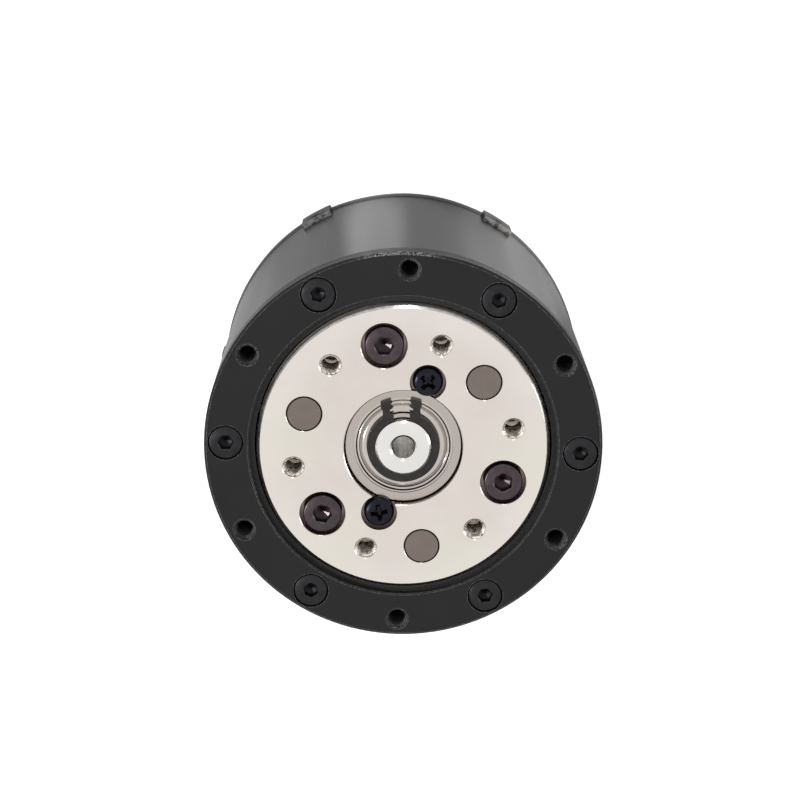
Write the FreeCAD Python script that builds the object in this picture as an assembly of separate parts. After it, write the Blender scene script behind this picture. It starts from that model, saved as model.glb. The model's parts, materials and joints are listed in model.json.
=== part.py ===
"""Planetary joint motor for a robot arm.

Axis +Z, output face up, rear cover on the plane z = 0.  Millimetres and degrees.
Levels are stacked from the rear cover upwards and radii from the gear train outwards,
so a size that changes carries everything that seats on it.
"""
import FreeCAD, Part
import math
import os

Vector = FreeCAD.Vector
Z_AXIS = Vector(0, 0, 1)

# ---------------------------------------------------------------- fits and small gaps
FIT = 0.02                 # radial clearance of a seated, turned fit
SLIP = 0.05                # radial clearance of a piece that slides into place
RUN = 0.30                 # gap between a turning piece and its neighbour
HOLE_CLEAR = 0.10          # radial clearance of a screw in its through hole
HEAD_CLEAR = 0.15
EDGE = 0.20                # small edge break
CROSS_LENGTH = 1.1         # cross recess, in head radii
CROSS_WIDTH = 0.28

# ---------------------------------------------------------------- gear train
MODULE = 0.625
SUN_TEETH = 16
PLANET_TEETH = 32
PLANET_COUNT = 3
PRESSURE_ANGLE = 20.0
ADDENDUM = 1.0             # in modules
DEDENDUM = 1.2             # in modules
BACKLASH = 0.06            # taken off each tooth's thickness at the pitch circle
PLANET_W = 4.9
WASHER_T = 0.4
PLANET_PLAY = 0.1
WASHER_LAND = 1.9          # washer width outside its pin
BUSH_T = 1.0
RING_RIM = 1.25            # metal outside the ring gear's tooth roots
RING_W = 7.0

# ---------------------------------------------------------------- casings
WALL = 1.5                 # housing tube
REAR_STEP = 0.3            # wider bore behind the end plate
COVER_RIM_T = 3.0          # visible edge of the front cover
SPIGOT_H = 1.5             # register of the front cover inside the housing
COVER_CHAMFER = 0.35
LIP_GAP = 0.3              # between the output disc and the front cover
TROUGH_W = 0.8             # recessed band round the output disc
TROUGH_D = 1.2
SEAM_CHAMFER = 0.12
BEARING_LIP_W = 0.8

# ---------------------------------------------------------------- output flange
DISC_T = 4.5
DISC_OVERHANG = 2.0        # disc beyond its bearing journal
DISC_CHAMFER = 0.5
DISC_RELIEF = 0.4          # keeps the disc's rim off the fixed bearing ring
PIN_D = 5.0
PIN_CHAMFER = 0.15
JOURNAL_WALL = 1.5         # metal between the planet pins and the journal
FLANGE_TAIL = 0.5
OUTPUT_ANGLE = 42.14       # first planet pin at rest
OUTPUT_TAP_COUNT = 6
OUTPUT_TAP_R = 16.0
TAP_M3_R = 1.5             # at the thread's outer diameter
TAP_CHAMFER = 0.15
MOUTH_CHAMFER = 0.12       # round pin holes, counterbores and the nose pocket
OUTPUT_TAP_DEPTH = 8.0

# ---------------------------------------------------------------- output bearing, crossed rollers
OUT_BEARING_W = 5.0
OUT_BEARING_SECTION = 4.0
ROLLER_D = 2.2
ROLLER_L = 2.0
ROLLER_COUNT = 36
ROLLER_CLEAR = 0.04
RACE_SPLIT = 0.5           # half the gap between the two rings

# ---------------------------------------------------------------- front cover fasteners
COVER_SCREW_COUNT = 6
COVER_SCREW_EDGE = 3.1     # screw circle to outside diameter
COVER_SCREW_R = 1.25       # M2.5
COVER_HEAD_R = 2.42
COVER_HEAD_H = 2.5
COVER_HEAD_SINK = 0.1
COVER_SCREW_L = 6.0
COVER_KEY_AF = 2.0
BODY_TAP_EDGE = 2.5        # tapped-hole circle to outside diameter
BODY_TAP_DEPTH = 8.5

# ---------------------------------------------------------------- carrier
CARRIER_T = 2.5
CARRIER_RUN = 0.2
CARRIER_EDGE = 2.0         # metal outside the planet pins
CARRIER_BORE_R = 6.3
POST_R = 3.75
CARRIER_SCREW_R = 1.5      # M3
CARRIER_SCREW_CIRCLE = 15.25
CARRIER_HEAD_R = 2.78
CARRIER_HEAD_H = 3.0
CARRIER_HEAD_SINK = 0.02
CARRIER_HEAD_CLEAR = 0.46
CARRIER_SCREW_L = 12.0
CARRIER_KEY_AF = 2.5

# ---------------------------------------------------------------- central shaft and nose bearing
SHAFT_R = 4.0
SHAFT_SHOULDER = 0.75
SHAFT_SINK = 0.1           # shaft end below the output face
SHAFT_CHAMFER = 0.25
NOSE_SECTION = 4.5         # shaft to bearing seat
NOSE_W = 5.0
NOSE_SINK = 1.4            # bearing face below the output face
NOSE_LEDGE = 1.3
CENTRE_TAP_R = 1.65        # M4
CENTRE_TAP_DEPTH = 12.0
CENTRE_CHAMFER = 0.3
CIRCLIP_T = 0.8
CIRCLIP_GROOVE = 0.3
CIRCLIP_W = 1.5
CIRCLIP_ANGLE = 94.7
CIRCLIP_GAP = 2.3
LUG_OFFSET = 1.65          # clip axis to the near side of a lug's neck
LUG_W = 1.05
LUG_HEAD_L = 1.0
LUG_HEAD_OVER = 0.22       # head past each side of its neck
LUG_REACH = 7.2
NOSE_SCREW_COUNT = 2
NOSE_SCREW_OFFSET = 1.8    # screw axis outside the bearing; the head laps over its ring
NOSE_SCREW_ANGLE = 72.14
NOSE_SCREW_R = 1.0         # M2
NOSE_HEAD_R = 2.17
NOSE_SCREW_L = 5.0
NOSE_HEAD_CLEAR = 0.43

# ---------------------------------------------------------------- ball bearings
RING_SHARE = 0.311         # ring thickness as a share of a bearing's section
BALL_SHARE = 0.6           # ball diameter as a share of a bearing's section
BALL_FILL = 0.5            # share of the pitch circle that balls take
BALL_CLEAR = 0.03          # radial clearance of a ball in its tracks
RING_CHAMFER = 0.25
RING_LAND = 0.58           # land inside the shields as a share of the inner ring's thickness
SHIELD_T = 0.25
SHIELD_SINK = 0.3
SHIELD_GAP = 0.1
SHIELD_FLOOR = 0.3         # shield to the rebate that it runs over
CARRIER_BEARING_IN_R = 8.5
CARRIER_BEARING_SECTION = 3.0
CARRIER_BEARING_W = 4.0
CARRIER_BEARING_SHARE = 1 / 3
REAR_BEARING_SECTION = 4.0
REAR_BEARING_W = 5.0

# ---------------------------------------------------------------- mid plate
MID_PLATE_T = 2.5
MID_LIP_H = 0.5
MID_LIP_W = 1.1
MID_BOSS_T = 2.5
MID_RIM_T = 1.4
SNAP_RING_T = 0.9
SNAP_RING_W = 1.1
SNAP_GROOVE = 0.5
SNAP_GAP_ANGLE = 24.0
MID_GAP = 1.0              # room for the snap ring ahead of the rotor

# ---------------------------------------------------------------- motor
SLOT_COUNT = 24
POLE_COUNT = 28
AIR_GAP = 0.4
BELL_GAP = 1.0             # rotor to housing bore
BELL_WALL = 1.1
BELL_T = 1.4
BELL_HUB_R = 7.5
BELL_HUB_L = 3.1
BELL_WINDOW_COUNT = 6
BELL_WINDOW_R = 3.2
MAGNET_T = 1.7
MAGNET_FILL = 0.9          # share of a pole pitch
MAGNET_OVERLAP = 0.5       # magnet beyond each end of the stack
STACK_L = 7.0
STATOR_BORE_R = 14.0
YOKE_T = 2.2
TOOTH_W = 2.2
SHOE_T = 1.0
SLOT_OPENING = 1.4
COIL_T = 0.75
COIL_END = 1.5
COIL_CLEAR = 0.05
COIL_TO_BELL = 0.4

# ---------------------------------------------------------------- motor end plate
END_PLATE_T = 2.5
END_TO_STACK = 1.8
STATOR_SHOULDER_W = 1.5
BOSS_BORE_R = 9.5
END_LIP_H = 1.0
END_LIP_W = 1.0

# ---------------------------------------------------------------- driver board and sockets
BOARD_T = 1.6
BOARD_GAP = 1.8
BOARD_EDGE_GAP = 0.8
BOARD_SCREW_COUNT = 3
BOARD_SCREW_CIRCLE = 21.5
BOARD_SCREW_ANGLE = 30.0
BOARD_SCREW_R = 1.0        # M2
BOARD_HEAD_R = 1.9
BOARD_HEAD_H = 1.3
STANDOFF_R = 2.2
SOCKET_H = 5.5
SOCKET_SINK = 0.5
SOCKET_WALL = 0.8
SOCKET_FLOOR = 1.0
SOCKET_Y = 13.5
POWER_SOCKET = (12.0, 6.0)
SIGNAL_SOCKET = (7.8, 4.4)
WINDOW_CLEAR = 0.2
POWER_PIN_R = 0.8
POWER_PIN_PITCH = 5.0
SIGNAL_PIN = 0.5
SIGNAL_PIN_COUNT = 4
SIGNAL_PIN_PITCH = 1.25
ENCODER_MAGNET_R = 3.0
ENCODER_MAGNET_T = 2.3
ENCODER_CHIP = (5.0, 4.0)
CHIP_H = 0.9
CONTROL_CHIP = 7.0
SWITCH_CHIP = 3.4
SWITCH_X = 14.0
SWITCH_PITCH = 4.2
SWITCH_ROWS = (-1, 0, 1)
CAPACITOR = (3.2, 2.5)
CAPACITOR_H = 2.5
CAPACITOR_X = 11.0
PHASE_PIN_COUNT = 3
PHASE_PIN_R = 0.6
PHASE_PIN_CIRCLE = 18.5
PHASE_PIN_STEP = 24.0

# ---------------------------------------------------------------- rear cover
REAR_FLOOR_T = 1.5
REAR_RIM_T = 1.8
REAR_RIM_PROUD = 0.25
REAR_SKIRT_T = 1.2
REAR_CHAMFER = 0.4
TAB_COUNT = 6
TAB_W = 5.0
TAB_H = 6.3
TAB_PROUD = 0.75
TAB_START = 0.4
TAB_CHAMFER = 0.4          # along a tab's front edge
TAB_SCREW_Z = 4.2
TAB_SCREW_R = 1.0          # M2
TAB_HEAD_R = 1.6
TAB_HEAD_H = 0.6
TAB_SCREW_L = 3.0
TAB_KEY_R = 0.6
TAB_KEY_DEPTH = 0.42

# ---------------------------------------------------------------- radii that follow
RING_TEETH = SUN_TEETH + 2 * PLANET_TEETH
SUN_PITCH_R = MODULE * SUN_TEETH / 2
PLANET_PITCH_R = MODULE * PLANET_TEETH / 2
RING_PITCH_R = MODULE * RING_TEETH / 2
PIN_CIRCLE = SUN_PITCH_R + PLANET_PITCH_R
PIN_R = PIN_D / 2
CARRIER_R = PIN_CIRCLE + PIN_R + CARRIER_EDGE
BORE_R = RING_PITCH_R + DEDENDUM * MODULE + RING_RIM
BODY_R = BORE_R + WALL
REAR_BORE_R = BORE_R + REAR_STEP
JOURNAL_R = PIN_CIRCLE + PIN_R + JOURNAL_WALL
DISC_R = JOURNAL_R + DISC_OVERHANG
OUT_BEARING_R = JOURNAL_R + OUT_BEARING_SECTION
ROLLER_CIRCLE = JOURNAL_R + OUT_BEARING_SECTION / 2
LIP_R = DISC_R + LIP_GAP
COVER_SCREW_CIRCLE = BODY_R - COVER_SCREW_EDGE
BODY_TAP_CIRCLE = BODY_R - BODY_TAP_EDGE
BELL_R = BORE_R - BELL_GAP
MAGNET_OUT_R = BELL_R - BELL_WALL
MAGNET_IN_R = MAGNET_OUT_R - MAGNET_T
STATOR_R = MAGNET_IN_R - AIR_GAP
REAR_RIM_R = BODY_R + REAR_RIM_PROUD
TAB_R = BODY_R + TAB_PROUD
SKIRT_R = REAR_BORE_R - SLIP
NOSE_OUT_R = SHAFT_R + NOSE_SECTION
NOSE_SCREW_CIRCLE = NOSE_OUT_R + NOSE_SCREW_OFFSET
CARRIER_BEARING_OUT_R = CARRIER_BEARING_IN_R + CARRIER_BEARING_SECTION
REAR_BEARING_OUT_R = SHAFT_R + REAR_BEARING_SECTION
BOARD_R = SKIRT_R - REAR_SKIRT_T - BOARD_EDGE_GAP

# ---------------------------------------------------------------- levels, rear face upwards
Z_BOARD = SOCKET_SINK + SOCKET_H
Z_BOARD_TOP = Z_BOARD + BOARD_T
Z_END = Z_BOARD_TOP + BOARD_GAP
Z_END_TOP = Z_END + END_PLATE_T
Z_STACK = Z_END_TOP + END_TO_STACK
Z_STACK_TOP = Z_STACK + STACK_L
Z_BELL = Z_STACK_TOP + COIL_END + COIL_TO_BELL
Z_BELL_TOP = Z_BELL + BELL_T
Z_MID = Z_BELL_TOP + MID_GAP
Z_MID_BEARING = Z_MID + MID_LIP_H
Z_CARRIER = Z_MID_BEARING + CARRIER_BEARING_W + CARRIER_RUN
Z_PLANET_SPACE = Z_CARRIER + CARRIER_T
Z_PLANET = Z_PLANET_SPACE + WASHER_T + PLANET_PLAY / 2
Z_FLANGE = Z_PLANET_SPACE + PLANET_W + 2 * WASHER_T + PLANET_PLAY
Z_OUT_BEARING = Z_FLANGE + FLANGE_TAIL
Z_DISC = Z_OUT_BEARING + OUT_BEARING_W
Z_FACE = Z_DISC + DISC_T
Z_SEAM = Z_FACE - COVER_RIM_T
Z_SPIGOT = Z_SEAM - SPIGOT_H
Z_NOSE = Z_FACE - NOSE_SINK
Z_NOSE_BOTTOM = Z_NOSE - NOSE_W
Z_SHAFT_END = Z_FACE - SHAFT_SINK
Z_SHAFT_REAR = Z_END_TOP + FIT
Z_REAR_BEARING = Z_END + END_LIP_H
CARRIER_ANGLES = [OUTPUT_ANGLE + 360.0 * i / PLANET_COUNT for i in range(PLANET_COUNT)]


# ================================================================ helpers
def cylinder(radius, z0, z1, x=0.0, y=0.0):
    """Solid cylinder along Z between two levels."""
    return Part.makeCylinder(radius, z1 - z0, Vector(x, y, z0))


def turned(profile):
    """Solid of revolution about Z from a closed outline of (radius, z) points."""
    points = [Vector(r, 0, z) for r, z in profile]
    face = Part.Face(Part.makePolygon(points + points[:1]))
    return face.revolve(Vector(0, 0, 0), Z_AXIS, 360)


def sleeve(outer, inner, z0, z1):
    """Plain ring between two radii and two levels."""
    return turned([(inner, z0), (outer, z0), (outer, z1), (inner, z1)])


def block(size_x, size_y, z0, z1, x=0.0, y=0.0):
    """Box centred on (x, y) between two levels."""
    return Part.makeBox(size_x, size_y, z1 - z0, Vector(x - size_x / 2, y - size_y / 2, z0))


def polar(radius, angle):
    """Point on a circle about the axis."""
    return radius * math.cos(math.radians(angle)), radius * math.sin(math.radians(angle))


def spun(shape, angle):
    """Copy of a shape turned about the axis."""
    copy = shape.copy()
    copy.rotate(Vector(0, 0, 0), Z_AXIS, angle)
    return copy


def ring_of(shape, angles):
    """Copies of a shape, modelled at angle zero, at the given angles."""
    return [spun(shape, angle) for angle in angles]


def even(count, start=0.0):
    """Evenly spaced angles."""
    return [start + 360.0 * i / count for i in range(count)]


def cut_all(shape, tools):
    """Shape less a list of tools."""
    return shape.cut(Part.makeCompound(tools)) if tools else shape


def countersink(radius, depth, z_face, x):
    """Cone that breaks the edge of a hole at the top face."""
    return Part.makeCone(radius, radius + depth, depth, Vector(x, 0, z_face - depth))


def tapped_hole(radius, depth, chamfer, z_face, x):
    """Cutter for a blind tapped hole opening upwards at radius x on the X axis."""
    bore = cylinder(radius, z_face - depth, z_face, x)
    return bore.fuse(countersink(radius, chamfer, z_face, x))


def hex_prism(across_flats, z0, z1, x=0.0):
    """Hexagonal key recess."""
    corner = across_flats / math.sqrt(3)
    points = [Vector(x + px, py, z0) for px, py in (polar(corner, a) for a in even(6))]
    face = Part.Face(Part.makePolygon(points + points[:1]))
    return face.extrude(Vector(0, 0, z1 - z0))


def socket_screw(radius, length, head_r, head_h, key_af, z_top, x):
    """Socket cap screw pointing down from its head's top face."""
    z_seat = z_top - head_h
    head = turned([(0, z_seat), (head_r, z_seat), (head_r, z_top - EDGE),
                   (head_r - EDGE, z_top), (0, z_top)])
    head.translate(Vector(x, 0, 0))
    screw = head.fuse(cylinder(radius, z_seat - length, z_seat, x))
    return screw.cut(hex_prism(key_af, z_top - head_h / 2, z_top, x)).removeSplitter()


# ================================================================ gear teeth
def involute(angle):
    return math.tan(angle) - angle


def half_angle(radius, teeth, thinning):
    """Half the angle that a tooth takes at a radius; radial below the base circle."""
    pitch_r = MODULE * teeth / 2
    base_r = pitch_r * math.cos(math.radians(PRESSURE_ANGLE))
    local = math.acos(base_r / max(radius, base_r))
    at_pitch = math.pi / (2 * teeth) - thinning / (2 * pitch_r)
    return at_pitch + involute(math.radians(PRESSURE_ANGLE)) - involute(local)


def tooth_outline(teeth, inner_r, outer_r, thinning, phase):
    """Closed outline of a toothed wheel; each flank runs through three points."""
    levels = [inner_r, (inner_r + outer_r) / 2, outer_r]
    points = []
    for tooth in range(teeth):
        centre = math.radians(phase) + 2 * math.pi * tooth / teeth
        rising = [(r, centre - half_angle(r, teeth, thinning)) for r in levels]
        falling = [(r, centre + half_angle(r, teeth, thinning)) for r in reversed(levels)]
        points += [Vector(r * math.cos(a), r * math.sin(a), 0) for r, a in rising + falling]
    return points


def toothed_prism(teeth, inner_r, outer_r, thinning, phase, z0, z1):
    """Straight-cut teeth with a solid middle."""
    points = tooth_outline(teeth, inner_r, outer_r, thinning, phase)
    face = Part.Face(Part.makePolygon(points + points[:1]))
    solid = face.extrude(Vector(0, 0, z1 - z0))
    solid.translate(Vector(0, 0, z0))
    return solid


def external_teeth(teeth, phase, z0, z1):
    pitch_r = MODULE * teeth / 2
    inner_r = pitch_r - DEDENDUM * MODULE
    outer_r = pitch_r + ADDENDUM * MODULE
    return toothed_prism(teeth, inner_r, outer_r, BACKLASH, phase, z0, z1)


def planet_phase(carrier_angle):
    """Tooth position that meshes a planet with a sun whose first tooth points along X."""
    pitch = 360.0 / PLANET_TEETH
    from_sun = carrier_angle * SUN_TEETH / 360.0
    return carrier_angle + 180.0 - pitch * (0.5 - from_sun)


def ring_phase():
    """Position of a ring gear tooth space that meshes with the first planet."""
    angle = CARRIER_ANGLES[0]
    from_planet = (angle - planet_phase(angle)) * PLANET_TEETH / 360.0
    return angle - from_planet * 360.0 / RING_TEETH


def planet_gear(angle):
    x, y = polar(PIN_CIRCLE, angle)
    gear = external_teeth(PLANET_TEETH, planet_phase(angle), Z_PLANET, Z_PLANET + PLANET_W)
    gear = gear.cut(cylinder(PIN_R + BUSH_T, Z_PLANET, Z_PLANET + PLANET_W))
    gear.translate(Vector(x, y, 0))
    return gear


def planet_bush(angle):
    x, y = polar(PIN_CIRCLE, angle)
    bush = sleeve(PIN_R + BUSH_T - FIT, PIN_R + SLIP, Z_PLANET, Z_PLANET + PLANET_W)
    bush.translate(Vector(x, y, 0))
    return bush


def ring_gear():
    inner_r = RING_PITCH_R - ADDENDUM * MODULE
    outer_r = RING_PITCH_R + DEDENDUM * MODULE
    z0 = Z_FLANGE - RING_W
    spaces = toothed_prism(RING_TEETH, inner_r, outer_r, -BACKLASH, ring_phase(), z0, Z_FLANGE)
    return cylinder(BORE_R - FIT, z0, Z_FLANGE).cut(spaces)


# ================================================================ output side
def output_flange():
    """Disc, journal and nose pocket in one turned piece."""
    pocket_r = NOSE_OUT_R + FIT
    relief_z = Z_DISC + DISC_RELIEF
    shoulder_r = ROLLER_CIRCLE - RACE_SPLIT - EDGE
    body = turned([
        (NOSE_OUT_R - NOSE_LEDGE, Z_FLANGE), (JOURNAL_R - FIT, Z_FLANGE), (JOURNAL_R - FIT, Z_DISC),
        (shoulder_r, Z_DISC), (shoulder_r, relief_z), (DISC_R, relief_z),
        (DISC_R, Z_FACE - DISC_CHAMFER), (DISC_R - DISC_CHAMFER, Z_FACE),
        (pocket_r + MOUTH_CHAMFER, Z_FACE), (pocket_r, Z_FACE - MOUTH_CHAMFER),
        (pocket_r, Z_NOSE_BOTTOM), (NOSE_OUT_R - NOSE_LEDGE, Z_NOSE_BOTTOM)])
    pin = cylinder(PIN_R + FIT, Z_FLANGE, Z_FACE, PIN_CIRCLE)
    pin = pin.fuse(countersink(PIN_R + FIT, MOUTH_CHAMFER, Z_FACE, PIN_CIRCLE))
    pins = ring_of(pin, CARRIER_ANGLES)
    seat_z = Z_FACE - CARRIER_HEAD_SINK - CARRIER_HEAD_H
    bolt = cylinder(CARRIER_SCREW_R + HOLE_CLEAR, Z_FLANGE, Z_FACE, CARRIER_SCREW_CIRCLE)
    bore_r = CARRIER_HEAD_R + CARRIER_HEAD_CLEAR
    bolt = bolt.fuse(cylinder(bore_r, seat_z, Z_FACE, CARRIER_SCREW_CIRCLE))
    bolt = bolt.fuse(countersink(bore_r, MOUTH_CHAMFER, Z_FACE, CARRIER_SCREW_CIRCLE))
    bolts = ring_of(bolt, [angle + 180.0 / PLANET_COUNT for angle in CARRIER_ANGLES])
    tap = tapped_hole(TAP_M3_R, OUTPUT_TAP_DEPTH, TAP_CHAMFER, Z_FACE, OUTPUT_TAP_R)
    taps = ring_of(tap, even(OUTPUT_TAP_COUNT, OUTPUT_ANGLE + 180.0 / OUTPUT_TAP_COUNT))
    clamp = cylinder(NOSE_HEAD_R + NOSE_HEAD_CLEAR, Z_NOSE, Z_FACE, NOSE_SCREW_CIRCLE)
    clamp = clamp.fuse(cylinder(NOSE_SCREW_R + FIT, Z_NOSE - NOSE_SCREW_L - EDGE, Z_NOSE, NOSE_SCREW_CIRCLE))
    clamps = ring_of(clamp, even(NOSE_SCREW_COUNT, NOSE_SCREW_ANGLE))
    return cut_all(body, pins + bolts + taps + clamps)


def planet_pins():
    pin = turned([(0, Z_CARRIER), (PIN_R, Z_CARRIER), (PIN_R, Z_FACE - PIN_CHAMFER),
                  (PIN_R - PIN_CHAMFER, Z_FACE), (0, Z_FACE)])
    pin.translate(Vector(PIN_CIRCLE, 0, 0))
    return ring_of(pin, CARRIER_ANGLES)


def planet_washers():
    low = sleeve(PIN_R + WASHER_LAND, PIN_R + SLIP, Z_PLANET_SPACE, Z_PLANET_SPACE + WASHER_T)
    high = sleeve(PIN_R + WASHER_LAND, PIN_R + SLIP, Z_FLANGE - WASHER_T, Z_FLANGE)
    washers = []
    for washer in (low, high):
        washer.translate(Vector(PIN_CIRCLE, 0, 0))
        washers += ring_of(washer, CARRIER_ANGLES)
    return washers


def carrier_screws():
    screw = socket_screw(CARRIER_SCREW_R, CARRIER_SCREW_L, CARRIER_HEAD_R, CARRIER_HEAD_H, CARRIER_KEY_AF,
                         Z_FACE - CARRIER_HEAD_SINK, CARRIER_SCREW_CIRCLE)
    return ring_of(screw, [angle + 180.0 / PLANET_COUNT for angle in CARRIER_ANGLES])


def carrier_plate():
    """Rear half of the planet carrier: plate, bearing boss and three screw posts."""
    seat_r = CARRIER_BEARING_IN_R - FIT
    ring_t = (CARRIER_BEARING_OUT_R - CARRIER_BEARING_IN_R) * CARRIER_BEARING_SHARE
    shoulder_r = CARRIER_BEARING_IN_R + ring_t - EDGE
    plate = turned([
        (CARRIER_BORE_R, Z_MID_BEARING), (seat_r, Z_MID_BEARING), (seat_r, Z_CARRIER - CARRIER_RUN),
        (shoulder_r, Z_CARRIER - CARRIER_RUN), (shoulder_r, Z_CARRIER), (CARRIER_R - EDGE, Z_CARRIER),
        (CARRIER_R, Z_CARRIER + EDGE), (CARRIER_R, Z_PLANET_SPACE), (CARRIER_BORE_R, Z_PLANET_SPACE)])
    post_angles = [angle + 180.0 / PLANET_COUNT for angle in CARRIER_ANGLES]
    post = cylinder(POST_R, Z_PLANET_SPACE - EDGE, Z_FLANGE, CARRIER_SCREW_CIRCLE)
    plate = plate.fuse(ring_of(post, post_angles))
    tap_depth = Z_FACE - CARRIER_HEAD_SINK - CARRIER_HEAD_H - CARRIER_SCREW_L - EDGE
    taps = ring_of(cylinder(CARRIER_SCREW_R + FIT, tap_depth, Z_FLANGE, CARRIER_SCREW_CIRCLE), post_angles)
    holes = ring_of(cylinder(PIN_R + FIT, Z_CARRIER, Z_PLANET_SPACE, PIN_CIRCLE), CARRIER_ANGLES)
    return cut_all(plate, taps + holes)


def roller_groove(clear):
    """Square track, turned 45 degrees, that crossed rollers run in."""
    half = (ROLLER_D / 2 + clear) * math.sqrt(2)
    mid = Z_OUT_BEARING + OUT_BEARING_W / 2
    return turned([(ROLLER_CIRCLE - half, mid), (ROLLER_CIRCLE, mid - half),
                   (ROLLER_CIRCLE + half, mid), (ROLLER_CIRCLE, mid + half)])


def output_bearing_outer():
    ring = sleeve(OUT_BEARING_R - FIT, ROLLER_CIRCLE + RACE_SPLIT, Z_OUT_BEARING, Z_DISC)
    return ring.cut(roller_groove(ROLLER_CLEAR))


def output_bearing_inner():
    ring = sleeve(ROLLER_CIRCLE - RACE_SPLIT, JOURNAL_R, Z_OUT_BEARING, Z_DISC)
    return ring.cut(roller_groove(ROLLER_CLEAR))


def output_bearing_rollers():
    """Rollers whose axes lean inwards and outwards in turn."""
    rollers = []
    for index, angle in enumerate(even(ROLLER_COUNT)):
        lean = 45.0 if index % 2 else -45.0
        roller = Part.makeCylinder(ROLLER_D / 2, ROLLER_L, Vector(0, 0, -ROLLER_L / 2))
        roller.rotate(Vector(0, 0, 0), Vector(0, 1, 0), lean)
        roller.translate(Vector(ROLLER_CIRCLE, 0, Z_OUT_BEARING + OUT_BEARING_W / 2))
        rollers.append(spun(roller, angle))
    return rollers


# ================================================================ ball bearings
def ball_bearing(in_r, out_r, share, z0, width):
    """Grooved rings, balls and the two shields of a small deep-groove bearing."""
    z1 = z0 + width
    section = out_r - in_r
    ring_t = section * share
    ball_r = section * BALL_SHARE / 2
    pitch_r = (in_r + out_r) / 2
    middle = z0 + width / 2
    track = Part.makeTorus(pitch_r, ball_r + BALL_CLEAR, Vector(0, 0, middle))
    outer = turned([
        (out_r - ring_t, z0), (out_r - RING_CHAMFER, z0), (out_r, z0 + RING_CHAMFER),
        (out_r, z1 - RING_CHAMFER), (out_r - RING_CHAMFER, z1), (out_r - ring_t, z1)]).cut(track)
    land_r = in_r + ring_t * RING_LAND
    rebate = SHIELD_SINK + SHIELD_T + SHIELD_FLOOR
    inner = turned([
        (in_r, z0 + RING_CHAMFER), (in_r + RING_CHAMFER, z0), (land_r, z0), (land_r, z0 + rebate),
        (in_r + ring_t, z0 + rebate), (in_r + ring_t, z1 - rebate), (land_r, z1 - rebate),
        (land_r, z1), (in_r + RING_CHAMFER, z1), (in_r, z1 - RING_CHAMFER)]).cut(track)
    ball = Part.makeSphere(ball_r, Vector(pitch_r, 0, middle))
    balls = ring_of(ball, even(int(BALL_FILL * math.pi * pitch_r / ball_r)))
    shields = []
    for z in (z0 + SHIELD_SINK, z1 - SHIELD_SINK - SHIELD_T):
        shields.append(sleeve(out_r - ring_t - FIT, land_r + SHIELD_GAP, z, z + SHIELD_T))
    return {"outer": outer, "inner": inner, "balls": balls, "shields": shields}


def nose_circlip():
    """External retaining ring with two plier lugs beside its gap."""
    inner_r = SHAFT_R - CIRCLIP_GROOVE
    outer_r = inner_r + CIRCLIP_W
    z0, z1 = Z_NOSE, Z_NOSE + CIRCLIP_T
    ring = sleeve(outer_r, inner_r, z0, z1)
    ring = ring.cut(block(outer_r, CIRCLIP_GAP, z0, z1, outer_r / 2))
    reach = cylinder(LUG_REACH, z0, z1)
    start = inner_r + EDGE
    head_x = LUG_REACH - LUG_HEAD_L / 2
    head_w = LUG_W + 2 * LUG_HEAD_OVER
    for side in (-1, 1):
        middle = side * (LUG_OFFSET + LUG_W / 2)
        neck = block(LUG_REACH - start, LUG_W, z0, z1, (LUG_REACH + start) / 2, middle)
        head = block(2 * LUG_HEAD_L, head_w, z0, z1, head_x, middle)
        ring = ring.fuse([neck.common(reach), head.common(reach)])
    return spun(ring.removeSplitter(), CIRCLIP_ANGLE)


def pan_screw(radius, length, head_r, head_h, z_seat, x):
    """Cross-recess pan-head screw with a domed edge."""
    top = z_seat + head_h
    rise = head_h / 2
    head = turned([(0, z_seat), (head_r, z_seat), (head_r, z_seat + rise),
                   (head_r - rise / 2, top - EDGE / 2), (head_r - rise, top), (0, top)])
    head.translate(Vector(x, 0, 0))
    slot_l = head_r * CROSS_LENGTH
    slot_w = head_r * CROSS_WIDTH
    cross = [block(slot_l, slot_w, top - rise, top, x), block(slot_w, slot_l, top - rise, top, x)]
    screw = head.fuse(cylinder(radius, z_seat - length, z_seat, x))
    return cut_all(screw, cross).removeSplitter()


def bearing_screws():
    screw = pan_screw(NOSE_SCREW_R, NOSE_SCREW_L, NOSE_HEAD_R, NOSE_SINK, Z_NOSE, NOSE_SCREW_CIRCLE)
    return ring_of(screw, even(NOSE_SCREW_COUNT, NOSE_SCREW_ANGLE))


# ================================================================ shaft
def sun_shaft():
    """Motor shaft with the sun teeth cut on it, nose journal, clip groove and end thread."""
    shoulder_r = SHAFT_R + SHAFT_SHOULDER
    journal_r = SHAFT_R - FIT
    groove_r = SHAFT_R - CIRCLIP_GROOVE - FIT
    groove_top = Z_NOSE + CIRCLIP_T + FIT
    shaft = turned([
        (0, Z_SHAFT_REAR), (journal_r, Z_SHAFT_REAR), (journal_r, Z_PLANET_SPACE),
        (shoulder_r - EDGE, Z_PLANET_SPACE), (shoulder_r - EDGE, Z_FLANGE), (shoulder_r, Z_FLANGE),
        (shoulder_r, Z_NOSE_BOTTOM), (journal_r, Z_NOSE_BOTTOM), (journal_r, Z_NOSE),
        (groove_r, Z_NOSE), (groove_r, groove_top), (journal_r, groove_top),
        (journal_r, Z_SHAFT_END - SHAFT_CHAMFER), (journal_r - SHAFT_CHAMFER, Z_SHAFT_END),
        (0, Z_SHAFT_END)])
    core = cylinder(shoulder_r, Z_PLANET_SPACE, Z_FLANGE)
    teeth = external_teeth(SUN_TEETH, 0.0, Z_PLANET_SPACE, Z_FLANGE)
    shaft = shaft.cut(core).fuse(teeth)
    end_tap = tapped_hole(CENTRE_TAP_R, CENTRE_TAP_DEPTH, CENTRE_CHAMFER, Z_SHAFT_END, 0.0)
    return shaft.cut(end_tap).removeSplitter()


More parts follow.
